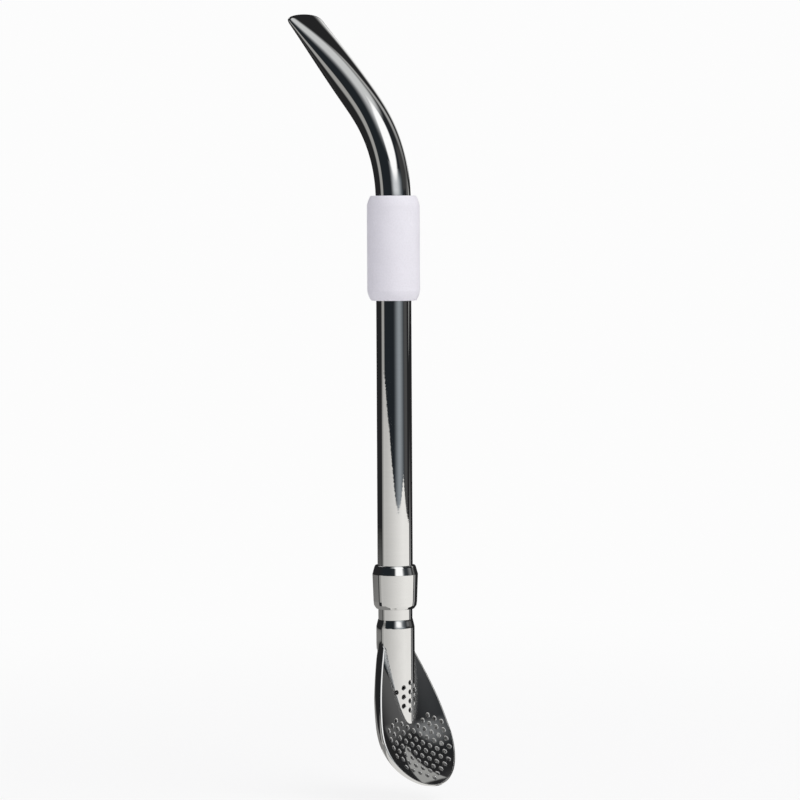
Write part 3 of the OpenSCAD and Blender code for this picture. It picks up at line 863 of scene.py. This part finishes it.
def flat_blank(spoon, holes, hole_r, thick):
    """The front sheet cut out flat, as a thin slab in l and t with round gaps for the perforations."""
    half, tip = blank_half(spoon, thick)
    outline = np.concatenate([half, (half * [1, -1])[1:][::-1]])
    least_step = 2e-6
    outline = outline[np.r_[True, np.linalg.norm(np.diff(outline, axis=0), axis=1) > least_step]]
    ring = np.arange(HOLE_SIDES) * TAU / HOLE_SIDES
    circle = np.stack([np.cos(ring), np.sin(ring)], 1) * hole_r
    loops = [outline] + [hole + circle for hole in holes]
    edges = []
    count = 0
    for loop in loops:
        n = len(loop)
        edges += [(count + i, count + (i + 1) % n) for i in range(n)]
        count += n

    def to_hole(spots):
        """Distance of each spot from the nearest hole's centre."""
        return np.min(np.linalg.norm(spots[:, None, :] - holes[None], axis=2), axis=1)

    # filling points, closer across the sheet because the ridge bends that way
    grid_l = np.arange(-4.2 * MM, tip, 0.32 * MM)
    grid_t = np.arange(-17 * MM, 17 * MM, 0.2 * MM)
    fill = np.stack(np.meshgrid(grid_l, grid_t, indexing="ij"), -1).reshape(-1, 2)
    near_rim, near_hole = 0.09 * MM, 0.1 * MM
    limit = np.interp(fill[:, 0], half[TOP_POINTS:, 0], half[TOP_POINTS:, 1], left=0, right=0)
    inside = (np.abs(fill[:, 1]) < limit - near_rim) & (fill[:, 0] > spoon.top_l(fill[:, 1]) + near_rim)
    inside &= fill[:, 0] < tip - near_rim
    fill = fill[inside]
    fill = fill[to_hole(fill) > hole_r + near_hole]
    flat = np.concatenate(loops + [fill]) / MM
    verts, _, faces, *_ = geometry.delaunay_2d_cdt([Vector(v) for v in flat], edges, [], 1, 1e-6)
    verts = np.array([(v.x, v.y) for v in verts]) * MM
    faces = np.array([f for f in faces if len(f) == 3])
    # the triangles in the holes go, and the outline gets walls, as the rings bring the holes' own
    in_hole, at_hole = 0.995, 1.02
    faces = faces[to_hole(verts[faces].mean(1)) > hole_r * in_hole]
    n = len(verts)
    solid = np.concatenate([np.c_[verts, np.zeros(n)], np.c_[verts, np.full(n, -thick)]])
    sides = dict.fromkeys(side for a, b, c in faces for side in ((a, b), (b, c), (c, a)))
    border = np.array([(a, b) for a, b in sides if (b, a) not in sides])
    border = border[to_hole(verts[border].mean(1)) > hole_r * at_hole]
    walls = [(b, a, a + n, b + n) for a, b in border]
    every = [tuple(f) for f in faces] + [tuple(f[::-1] + n) for f in faces] + walls
    mesh = plain_mesh("front_blank", solid, every)
    mark_unpolished(mesh, np.concatenate([spoon.missed(*verts.T), np.ones(n)]))
    return mesh


def hole_ring(hole_r, edge, thick, outer):
    """One perforation's rounded wall, flat, to be set on every hole of the blank."""
    bend = np.linspace(0, math.pi / 2, 8)
    inner = 0.3 * edge
    rows = [(outer, 0)]
    rows += [(hole_r + edge * (1 - math.sin(t)), -edge * (1 - math.cos(t))) for t in bend]
    rows += [(hole_r + inner * (1 - math.cos(t)), -thick + inner * (1 - math.sin(t))) for t in bend[::2]]
    rows += [(outer, -thick)]
    angle = np.arange(HOLE_SIDES) * TAU / HOLE_SIDES
    rings = [np.stack([np.cos(angle) * r, np.sin(angle) * r, np.full(HOLE_SIDES, z)], 1) for r, z in rows]
    mesh = plain_mesh("hole_ring", *join_rings(rings))
    raw = [float(r < hole_r + 0.1 * edge or z < -edge) for r, z in rows]
    mark_unpolished(mesh, np.repeat(raw, HOLE_SIDES))
    return mesh


def die_face(spoon, low, high, half):
    """The pressed face without its perforations, unrolled on its UV map."""
    rows, columns = 240, 420
    l = np.linspace(low, high, rows)
    t = np.linspace(-half, half, columns)
    ll, tt = np.meshgrid(l, t, indexing="ij")
    verts = spoon.front(ll.ravel(), tt.ravel())
    _, faces = join_rings(verts.reshape(rows, columns, 3), around=False)
    mesh = plain_mesh("die_face", verts, [face[::-1] for face in faces])
    uv = mesh.uv_layers.new(name="unrolled")
    corner = np.zeros(len(mesh.loops), int)
    mesh.loops.foreach_get("vertex_index", corner)
    place = np.stack([(ll.ravel() - low) / (high - low), (tt.ravel() + half) / (2 * half)], 1)
    uv.data.foreach_set("uv", place[corner].astype(np.float32).ravel())
    shade_smooth(mesh)
    return mesh


def press_tree():
    """Nodes that punch a flat blank with rounded holes and press it on to a die."""
    tree, add, given = new_tree("press_perforated_sheet", {
        "Geometry": "Geometry", "Hole centres": "Object", "Hole ring": "Object", "Die": "Object",
        "Low": "Vector", "Size": "Vector", "Join distance": "Float", "Material": "Material"})

    def shape_of(name):
        return add("GeometryNodeObjectInfo", {"Object": given[name]}).outputs["Geometry"]

    rings = add("GeometryNodeInstanceOnPoints", {
        "Points": shape_of("Hole centres"), "Instance": shape_of("Hole ring")})
    real = add("GeometryNodeRealizeInstances", {"Geometry": rings.outputs["Instances"]})
    both = add("GeometryNodeJoinGeometry", {"Geometry": [given["Geometry"], real.outputs["Geometry"]]})
    weld = add("GeometryNodeMergeByDistance", {
        "Geometry": both.outputs["Geometry"], "Distance": given["Join distance"]})
    place = add("GeometryNodeInputPosition").outputs["Position"]
    shift = add("ShaderNodeVectorMath", {0: place, 1: given["Low"]}, operation="SUBTRACT")
    part = add("ShaderNodeVectorMath", {0: shift.outputs["Vector"], 1: given["Size"]}, operation="DIVIDE")
    unrolled = add("GeometryNodeInputNamedAttribute", {"Name": "unrolled"}, data_type="FLOAT_VECTOR")
    die = shape_of("Die")

    def on_die(value):
        return add("GeometryNodeSampleUVSurface", {
            "Mesh": die, "Value": value, "Source UV Map": unrolled.outputs["Attribute"],
            "Sample UV": part.outputs["Vector"]}, data_type="FLOAT_VECTOR").outputs["Value"]

    spot = on_die(place)
    out = on_die(add("GeometryNodeInputNormal").outputs["Normal"])
    level = add("ShaderNodeSeparateXYZ", {"Vector": place})
    rise = add("ShaderNodeVectorMath", {0: out, "Scale": level.outputs["Z"]}, operation="SCALE")
    total = add("ShaderNodeVectorMath", {0: spot, 1: rise.outputs["Vector"]}, operation="ADD")
    keep = add("GeometryNodeStoreNamedAttribute", {
        "Geometry": weld.outputs["Geometry"], "Name": "face_way", "Value": out},
        data_type="FLOAT_VECTOR", domain="POINT")
    press = add("GeometryNodeSetPosition", {
        "Geometry": keep.outputs["Geometry"], "Position": total.outputs["Vector"]})
    end_tree(add, press.outputs["Geometry"], given["Material"])
    return tree


class STRAW_OT_spoon_front(bpy.types.Operator):
    """Perforated front sheet of the spoon, with its ridge and half of the sleeve"""

    bl_idname = "straw.spoon_front"
    bl_label = "Spoon front"

    def execute(self, context):
        p = context.scene.straw.spoon
        spoon = Spoon(p)
        holes = spoon.holes()
        ring_flat = 0.03 * MM
        outer = p.hole / 2 + p.hole_edge + ring_flat
        # the die reaches past the blank all round
        low, high, half = -4.6 * MM, 36 * MM, 18 * MM
        centres = plain_mesh("hole_centres", [(l, t, 0) for l, t in holes])
        helpers = {
            "Hole centres": put("hole_centres", centres),
            "Hole ring": put("hole_ring", hole_ring(p.hole / 2, p.hole_edge, p.sheet, outer)),
            "Die": put("die_face", die_face(spoon, low, high, half))}
        mesh = grown("spoon_front_pressed", press_tree(), {
            **helpers, "Low": (low, -half, 0), "Size": (high - low, 2 * half, 1),
            "Join distance": 0.004 * MM, "Material": finish_of("pressed_sheet")},
            base=flat_blank(spoon, holes, outer, p.sheet))
        for helper in helpers.values():
            bpy.data.objects.remove(helper)
        shade_smooth(mesh, sharp=50)
        self.smooth_as_die(mesh)
        piece = put("spoon_front_pressed", mesh)
        stand_for(piece, "filter", "spoon_front")
        return {"FINISHED"}

    def smooth_as_die(self, mesh):
        """Gives the faces that lie along the die the die's own normals."""
        flush = 0.97
        outward = np.zeros(len(mesh.vertices) * 3, np.float32)
        mesh.attributes["face_way"].data.foreach_get("vector", outward)
        outward = outward.reshape(-1, 3)
        normals = np.zeros((len(mesh.loops), 3), np.float32)
        for poly in mesh.polygons:
            for corner in poly.loop_indices:
                v = outward[mesh.loops[corner].vertex_index]
                facing = float(np.dot(v, poly.normal))
                if abs(facing) > flush:
                    normals[corner] = v if facing > 0 else -v
        mesh.normals_split_custom_set([tuple(v) for v in normals])
        mesh.attributes.remove(mesh.attributes["face_way"])


# the rim's edge in shares of the sheet: across from its outer side, and up
BEVEL = ((0, -0.66), (0.03, -0.54), (0.08, -0.46), (0.5, -0.06),
         (0.6, 0), (0.88, 0), (0.97, -0.05), (1, -0.3))


class STRAW_OT_spoon_back(bpy.types.Operator):
    """Bowl-shaped back sheet of the spoon, with the upright rim"""

    bl_idname = "straw.spoon_back"
    bl_label = "Spoon back"

    def execute(self, context):
        p = context.scene.straw.spoon
        spoon = Spoon(p)
        m = 72
        phi = np.linspace(-math.pi / 2, math.pi / 2, m + 1)
        up = np.array([spoon.cos, 0, spoon.sin])
        seam_gap, dish_gap = 0.01 * MM, 0.02 * MM

        def rim_u(s):
            """Height of the rim at s."""
            angle = spoon.edge_angle(np.minimum(s, spoon.ridge_low))
            seam = spoon.seam_u(s, spoon.r * np.cos(angle) - seam_gap)
            dish = spoon.dish(s, spoon.half_width(s))
            level = dish - dish_gap
            blend = ease((s - spoon.ridge_low) / (2 * MM))
            return np.where(s < spoon.ridge_low, seam, level + (dish + p.rim_rise - level) * blend)

        def bowl(s, g):
            """The bowl's section at s and its two rim points, drawn in by g."""
            w, d = spoon.half_width(s, g), spoon.depth(s, g)
            top = rim_u(s)
            band = np.minimum(p.rim_band, 0.5 * d) * ease((s - p.flare_at) / (3 * MM))
            section = spoon.spot(np.full(m + 1, s), w * np.sin(phi), top - band - (d - band) * np.cos(phi))
            return section, spoon.spot(np.array([s, s]), np.array([-w, w]), np.array([top, top]))

        def sleeve(q, g):
            """The sleeve's half ring at a share q of its height and its two ends, drawn in by g."""
            x, y = -np.maximum(np.cos(phi), 0), np.sin(phi)
            lift = (x * (spoon.r - g) - p.dish_x - p.flare_at * spoon.sin) * spoon.sin / spoon.cos
            plane = p.frame_z - p.flare_at * spoon.cos + lift
            z = p.sleeve_top + (plane - p.sleeve_top) * q
            fade = np.clip((z - p.sleeve_top + p.shoulder) / p.shoulder, 0, 1)
            r = (spoon.r - g) if g else spoon.r - fade * (spoon.r - p.shoulder_diameter / 2)
            ring = np.stack([x * r, y * r, z], 1)
            return ring, ring[[0, -1]]

        def loop(outer, inner):
            """A closed section: the outer face, an edge, the inner face and an edge."""
            (o, o_rim), (i, i_rim) = outer, inner
            edges = []
            for a, b in zip(o_rim, i_rim):
                size = np.linalg.norm(a - b)
                edges.append(np.array([a + (b - a) * q + up * size * h for q, h in BEVEL]))
            return np.concatenate([o, edges[1], i[::-1], edges[0][::-1]])

        sleeve_rows, upper_rows, lower_rows = 9, 60, 44
        rows = [loop(sleeve(q, 0), sleeve(q, p.sheet)) for q in np.linspace(0, 1, sleeve_rows)[:-1]]
        for s in np.linspace(p.flare_at, p.wide_at, upper_rows)[1:]:
            rows.append(loop(bowl(s, 0), bowl(s, p.sheet)))
        # a hair short of the tip, where the section would vanish
        long = p.end - 1e-7 - p.wide_at
        for q in np.sin(np.linspace(0, 1, lower_rows)[1:] * math.pi / 2):
            rows.append(loop(bowl(p.wide_at + long * q, 0), bowl(p.wide_at + (long - p.sheet) * q, p.sheet)))
        verts, faces = join_rings(rows)
        half, edge = m + 1, len(BEVEL)
        # closed at the sleeve's top and at the tip
        for base in (0, (len(rows) - 1) * 2 * (half + edge)):
            for j in range(m):
                c = base + half + edge + m - j - 1
                faces.append((base + j, c + 1, c, base + j + 1))
            faces.append(tuple(range(base + m, base + half + edge + 1)))
            faces.append((*range(base + half + edge + m, base + 2 * (half + edge)), base))
        # the inside is left unpolished up to a little below the rim
        inside = ease((np.cos(phi) - 0.05) / 0.15)
        row = np.concatenate([np.zeros(half + edge), inside, np.zeros(edge)])
        piece = add_mesh("spoon_back_pressed", verts, faces, finish_of("pressed_sheet"), sharp=55,
                         merge=2e-6, unpolished=np.tile(row, len(rows)))
        stand_for(piece, "filter", "spoon_back")
        return {"FINISHED"}


# stage

CAMERA_TURN = math.radians(40.9)
BACK = np.array([math.sin(CAMERA_TURN), -math.cos(CAMERA_TURN), 0])
RIGHT = np.array([math.cos(CAMERA_TURN), math.sin(CAMERA_TURN), 0])
UP = np.array([0, 0, 1.0])
PALE = (0.975, 0.975, 0.975, 1)
# the floor lies low enough for the screwed out filter, the mirrored table just under the spoon,
# and the table's patches a layer apart
FLOOR_DROP, TABLE_DROP, LAYER = 4.4 * MM, 0.4 * MM, 0.1 * MM


def way(az, el):
    """Unit direction at an angle to the right of the camera's own direction and at a height, in degrees."""
    a, e = np.radians(az)[..., None], np.radians(el)[..., None]
    return (BACK * np.cos(a) + RIGHT * np.sin(a)) * np.cos(e) + UP * np.sin(e)


def stage_mesh(name, verts, faces, material):
    """A mesh of the stage that shows in polished surfaces and nowhere else."""
    mesh = plain_mesh(name, verts, faces)
    mesh.materials.append(material)
    obj = put(name, mesh)
    for rays in ("camera", "diffuse", "shadow", "transmission", "volume_scatter"):
        setattr(obj, "visible_" + rays, False)
    return mesh


def fan(name, middle, rim, material, closed=False):
    """A flat patch of the stage from its middle out to the points of its rim."""
    n = len(rim)
    faces = [(0, 1 + i, 1 + (i + 1) % n) for i in range(n if closed else n - 1)]
    stage_mesh(name, [middle, *rim], faces, material)


def end_in_glow(add, value, span, strength, colour):
    """Ends a stage material in a glow whose strength follows a value over its span."""
    level = add("ShaderNodeMapRange", {"Value": value, "From Min": span[0], "From Max": span[1],
                                       "To Min": strength[0], "To Max": strength[1]})
    glow = add("ShaderNodeEmission", {"Color": (*colour, 1), "Strength": level.outputs["Result"]})
    add("ShaderNodeOutputMaterial", {"Surface": glow.outputs["Emission"]})


def round_fade(add, where, soft):
    """Level of a panel that fades out over the outer share of its round."""
    off = add("ShaderNodeVectorMath", {0: where, 1: (0.5, 0.5, 0)}, operation="DISTANCE")
    fade = add("ShaderNodeMapRange", {"Value": off.outputs["Value"], "From Min": 0.5,
                                      "From Max": 0.5 * (1 - soft)}, interpolation_type="SMOOTHSTEP")
    return fade.outputs["Result"]


def side_fade(add, where, soft):
    """Level of a panel that fades out over a share of each side."""
    split = add("ShaderNodeSeparateXYZ", {"Vector": where})
    level = None
    for axis, first, edge in zip("XXYY", (True, False, True, False), soft):
        limits = {"From Min": 0 if first else 1, "From Max": edge if first else 1 - edge}
        fade = add("ShaderNodeMapRange", {"Value": split.outputs[axis], **limits},
                   interpolation_type="SMOOTHSTEP").outputs["Result"]
        if level is None:
            level = fade
        else:
            level = add("ShaderNodeMath", {0: level, 1: fade}, operation="MULTIPLY").outputs["Value"]
    return level


def panel(name, corners, radius, colour, soft, centre):
    """A studio panel between four directions: low left, low right, high left and high right.
    soft is the share over which it fades on its left, right, low and high side, or all around."""
    share = np.linspace(0, 1, 25)
    u, v = np.meshgrid(share, share, indexing="ij")
    a, b, c, d = np.array(corners, float)
    angles = np.stack([a[k] * (1 - u) * (1 - v) + b[k] * u * (1 - v) + c[k] * (1 - u) * v + d[k] * u * v
                       for k in (0, 1)])
    verts = way(*angles) * radius + np.array(centre)
    material, add = new_material(name)
    where = add("ShaderNodeUVMap", uv_map="panel").outputs["UV"]
    level = round_fade(add, where, soft) if isinstance(soft, float) else side_fade(add, where, soft)
    glow = add("ShaderNodeEmission", {"Color": (*colour, 1)})
    clear = add("ShaderNodeBsdfTransparent")
    mix = add("ShaderNodeMixShader", {"Fac": level, 1: clear.outputs["BSDF"], 2: glow.outputs["Emission"]})
    add("ShaderNodeOutputMaterial", {"Surface": mix.outputs["Shader"]})
    mesh = stage_mesh(name, verts.reshape(-1, 3), join_rings(verts, around=False)[1], material)
    place = np.stack([u, v], 2).reshape(-1, 2)
    uv = mesh.uv_layers.new(name="panel")
    for loop in mesh.loops:
        uv.data[loop.index].uv = place[loop.vertex_index]


# points that the panels stand around
STEM, MOUTH, DISH = (0, 0, 0.06), (-0.015, 0, 0.105), (0.008, 0, -0.04)
# name, corner directions in degrees, distance, brightness, fade and middle of each panel
PANELS = (
    ("streak_left", ((-97, -14), (-64, -14), (-86, 15), (-64, 17)), 2.0,
     (0.40, 0.395, 0.38), (0.35, 0.22, 0.03, 0.15), STEM),
    ("window_left", ((-155, 28), (-112, 28), (-155, 56), (-112, 56)), 2.0,
     (1.0, 1.0, 1.0), (0.2, 0.2, 0.2, 0.2), STEM),
    ("glow_front", ((-6, -12), (72, -12), (-6, 22), (80, 22)), 2.4,
     (0.30, 0.33, 0.355), (0.5, 0.5, 0.03, 0.3), STEM),
    ("glow_low", ((-14, -1), (58, -1), (-14, 21), (58, 21)), 2.35,
     (0.71, 0.73, 0.75), (0.42, 0.45, 0.4, 0.02), STEM),
    ("glow_left", ((-34, 21), (0, 21), (-48, 72), (0, 72)), 2.3,
     (0.60, 0.61, 0.62), (1.0, 0.02, 0.48, 0.1), STEM),
    ("glow_top", ((-40, 48), (102, 52), (-60, 89), (136, 89)), 2.25,
     (0.67, 0.68, 0.68), (0.3, 0.36, 0.4, 0.02), STEM),
    ("softbox", ((-11, 10), (57, 10), (-11, 68), (60, 69)), 1.8,
     (1.22, 1.22, 1.22), 0.3, STEM),
    ("shade_right", ((58, -4), (97, -4), (60, 31), (96, 28)), 0.14,
     (0.05, 0.05, 0.05), (0.35, 0.1, 0.1, 0.25), MOUTH),
    ("strip_right", ((94, -12), (130, -12), (85, 82), (118, 74)), 0.15,
     (0.44, 0.44, 0.43), (0.5, 0.4, 0.62, 0.1), MOUTH),
    ("patch_right", ((111, 20), (113, 21), (121, 45), (137, 33)), 0.22,
     (0.38, 0.38, 0.37), (0.06, 0.06, 0.06, 0.06), DISH),
    ("wall_right", ((66, 6), (102, 6), (66, 34), (94, 32)), 2.2,
     (0.22, 0.225, 0.23), (0.72, 0.2, 0.3, 0.6), STEM),
    ("wall_low", ((96, 0), (122, 0), (96, 15), (122, 15)), 2.2,
     (0.11, 0.11, 0.11), (0.1, 0.1, 0.3, 0.5), STEM),
    ("line_right", ((62, -14), (96, -14), (62, 2), (96, 2)), 2.1,
     (0.08, 0.08, 0.08), (0.3, 0.2, 0.05, 0.1), STEM),
    ("line_far", ((111, -26), (126, -26), (111, -4), (126, -4)), 2.1,
     (0.36, 0.36, 0.36), (0.3, 0.3, 0.05, 0.2), STEM),
    ("rim_right", ((132, -2), (182, -2), (132, 42), (170, 38)), 0.16,
     (0.95, 0.95, 0.94), (0.5, 0.1, 0.02, 0.45), MOUTH),
)


class STRAW_OT_stage(bpy.types.Operator):
    """Camera, floor, soft light and the studio panels that the steel mirrors"""

    bl_idname = "straw.stage"
    bl_label = "Stage"

    def execute(self, context):
        scene = context.scene
        scene.view_settings.view_transform = "Standard"
        self.camera(scene)
        self.world(scene)
        self.floor()
        self.table()
        self.lamps()
        self.room()
        for row in PANELS:
            panel(*row)
        return {"FINISHED"}

    def camera(self, scene):
        """The camera at the photograph's viewing angle."""
        distance, height, roll = 0.7485, 0.0782, math.radians(-0.296)
        data = bpy.data.cameras.new("camera")
        data.sensor_width = 36
        data.lens = 148.2
        data.shift_x, data.shift_y = 0.0083, -0.224
        data.clip_start, data.clip_end = 0.05, 50
        place = Matrix.Translation(Vector(BACK * distance + UP * height))
        look = Vector(-BACK).to_track_quat("-Z", "Y").to_matrix().to_4x4()
        camera = put("camera", data)
        camera.matrix_world = place @ look @ Matrix.Rotation(roll, 4, "Z")
        scene.camera = camera

    def world(self, scene):
        """A pale background for the camera, gloss and glass, and a dimmer light for the rest."""
        world = bpy.data.worlds.new("studio")
        scene.world = world
        world.use_nodes = True
        world.node_tree.nodes.clear()
        add = node_adder(world.node_tree)
        path = add("ShaderNodeLightPath").outputs
        seen = path["Is Camera Ray"]
        for rays in ("Is Glossy Ray", "Is Transmission Ray"):
            seen = add("ShaderNodeMath", {0: seen, 1: path[rays]}, operation="MAXIMUM").outputs["Value"]
        shade = add("ShaderNodeBackground", {"Color": (0.955, 0.95, 1, 1), "Strength": 0.55})
        white = add("ShaderNodeBackground", {"Color": PALE})
        mix = add("ShaderNodeMixShader", {"Fac": seen, 1: shade.outputs["Background"],
                                          2: white.outputs["Background"]})
        add("ShaderNodeOutputWorld", {"Surface": mix.outputs["Shader"]})

    def floor(self):
        """The pale floor, which keeps the straw's shadow close to it and fades to white further out."""
        side = 3.0
        corners = [BACK * side - RIGHT * side, BACK * side + RIGHT * side,
                   -BACK * side + RIGHT * side, -BACK * side - RIGHT * side]
        low = UP * (CAD_BOX[0][2] - FLOOR_DROP)
        mesh = plain_mesh("floor", [corner + low for corner in corners], [(0, 1, 2, 3)])
        material, add = new_material("floor_pale")
        path = add("ShaderNodeLightPath")
        place = add("ShaderNodeTexCoord").outputs["Object"]
        away = add("ShaderNodeVectorMath", {0: place}, operation="LENGTH")
        far = add("ShaderNodeMapRange", {"Value": away.outputs["Value"], "From Min": 0.06, "From Max": 0.34,
                                         "To Min": 0.84, "To Max": 1}, interpolation_type="SMOOTHSTEP")
        matte = add("ShaderNodeBsdfDiffuse", {"Color": (0.96, 0.96, 0.96, 1)})
        white = add("ShaderNodeEmission", {"Color": PALE})
        seen = add("ShaderNodeMixShader", {"Fac": far.outputs["Result"], 1: matte.outputs["BSDF"],
                                           2: white.outputs["Emission"]})
        both = add("ShaderNodeMixShader", {"Fac": path.outputs["Is Camera Ray"], 1: matte.outputs["BSDF"],
                                           2: seen.outputs["Shader"]})
        add("ShaderNodeOutputMaterial", {"Surface": both.outputs["Shader"]})
        mesh.materials.append(material)
        obj = put("floor", mesh)
        obj.visible_glossy = False

    def table(self):
        """What the steel mirrors below: a warm table, the dim floor beside it and a shade near the spoon."""
        low = CAD_BOX[0][2] - TABLE_DROP
        far, near, start = 2.2, 0.02, math.radians(-77)
        # metres towards the camera and to its right, and then close round behind the spoon
        outline = [(far * math.cos(start), far * math.sin(start)), (0.9, -1.56), (1.05, -0.67),
                   (0.907, -0.2), (0.664, 0.246), (0.464, 0.773), (-0.18, 0.633)]
        outline += [(near * math.cos(a), near * math.sin(a)) for a in np.radians(range(110, 284, 12))]
        material, add = new_material("table_warm")
        place = add("ShaderNodeTexCoord").outputs["Object"]
        around = add("ShaderNodeVectorMath", {0: place}, operation="NORMALIZE")
        side = add("ShaderNodeVectorMath", {0: around.outputs["Vector"], 1: tuple(RIGHT)},
                   operation="DOT_PRODUCT")
        end_in_glow(add, side.outputs["Value"], (-0.85, 0.8), (0.58, 0.96), (1, 0.985, 0.955))
        middle = UP * (low + LAYER)
        fan("table", middle, [BACK * x + RIGHT * y + middle for x, y in outline], material, closed=True)

        material, add = new_material("floor_dim")
        place = add("ShaderNodeTexCoord").outputs["Object"]
        away = add("ShaderNodeVectorMath", {0: place}, operation="LENGTH")
        end_in_glow(add, away.outputs["Value"], (0.2, 0.62), (0.26, 0.03), (1, 0.985, 0.96))
        for name, layer, radius, angles in (("floor_dim", 0, 0.62, range(-185, -96, 8)),
                                            ("table_shade", 2, 0.09, range(-100, -51, 8))):
            middle = UP * (low + layer * LAYER)
            fan(name, middle, [way(a, 0) * radius + middle for a in angles], material)

    def lamps(self):
        """A key lamp on the right and a fill lamp on the left, both soft."""
        aim = UP * 0.04
        for name, side, up, away, size, power, colour in (
                ("key", 50, 46, 1.4, 1.0, 9.6, (1, 0.99, 0.965)),
                ("fill", -35, 20, 1.6, 1.4, 2.0, (0.95, 0.94, 1))):
            data = bpy.data.lights.new(name, "AREA")
            data.color = colour
            data.shape = "DISK"
            data.size = size
            data.energy = power
            toward = way(side, up)
            lamp = put(name, data)
            lamp.location = Vector(toward * away + aim)
            lamp.rotation_euler = Vector(-toward).to_track_quat("-Z", "Y").to_euler()
            lamp.visible_glossy = False
            lamp.visible_camera = False

    def room(self):
        """The dark room around the panels."""
        n, m, radius = 48, 24, 3.5
        az, el = np.meshgrid(np.arange(n) * TAU / n, np.radians(np.linspace(-90, 90, m)), indexing="xy")
        verts = np.stack([np.cos(az) * np.cos(el), np.sin(az) * np.cos(el), np.sin(el)], 2) * radius
        material, add = new_material("room_dark")
        place = add("ShaderNodeTexCoord").outputs["Object"]
        front = add("ShaderNodeVectorMath", {0: place, 1: tuple(BACK)}, operation="DOT_PRODUCT")
        ahead = add("ShaderNodeMapRange", {"Value": front.outputs["Value"], "From Min": -0.5,
                                           "From Max": 1.5})
        tint = add("ShaderNodeMix", {"Factor": ahead.outputs["Result"], 6: (0.021, 0.021, 0.022, 1),
                                     7: (0.017, 0.021, 0.025, 1)}, data_type="RGBA")
        glow = add("ShaderNodeEmission", {"Color": tint.outputs[2]})
        add("ShaderNodeOutputMaterial", {"Surface": glow.outputs["Emission"]})
        stage_mesh("room", verts.reshape(-1, 3), join_rings(verts)[1], material)


class STRAW_PT_panel(bpy.types.Panel):
    """Lists the straw's pieces and settings"""

    bl_idname = "STRAW_PT_panel"
    bl_label = "Mate straw"
    bl_space_type = "VIEW_3D"
    bl_region_type = "UI"
    bl_category = "Mate straw"

    def draw(self, context):
        for group in ("stem", "grip", "joint", "spoon", "finish"):
            box = self.layout.box()
            box.label(text=group.capitalize())
            settings = getattr(context.scene.straw, group)
            for key in settings.__annotations__:
                box.prop(settings, key)
        for operator in PIECES:
            self.layout.operator(operator.bl_idname)


PIECES = (STRAW_OT_stem, STRAW_OT_grip, STRAW_OT_screw_joint, STRAW_OT_spoon_front, STRAW_OT_spoon_back,
          STRAW_OT_stage)
CLASSES = (StrawStem, StrawGrip, StrawJoint, StrawSpoon, StrawFinish, StrawSettings, *PIECES, STRAW_PT_panel)


def register():
    """Registers the classes and the scene's settings."""
    for cls in CLASSES:
        bpy.utils.register_class(cls)
    bpy.types.Scene.straw = PointerProperty(type=StrawSettings)


def unregister():
    """Takes back what register added."""
    del bpy.types.Scene.straw
    for cls in reversed(CLASSES):
        bpy.utils.unregister_class(cls)


def main():
    """Builds every piece and the stage."""
    register()
    for operator in PIECES:
        group, name = operator.bl_idname.split(".")
        getattr(getattr(bpy.ops, group), name)()


if __name__ == "__main__":
    main()
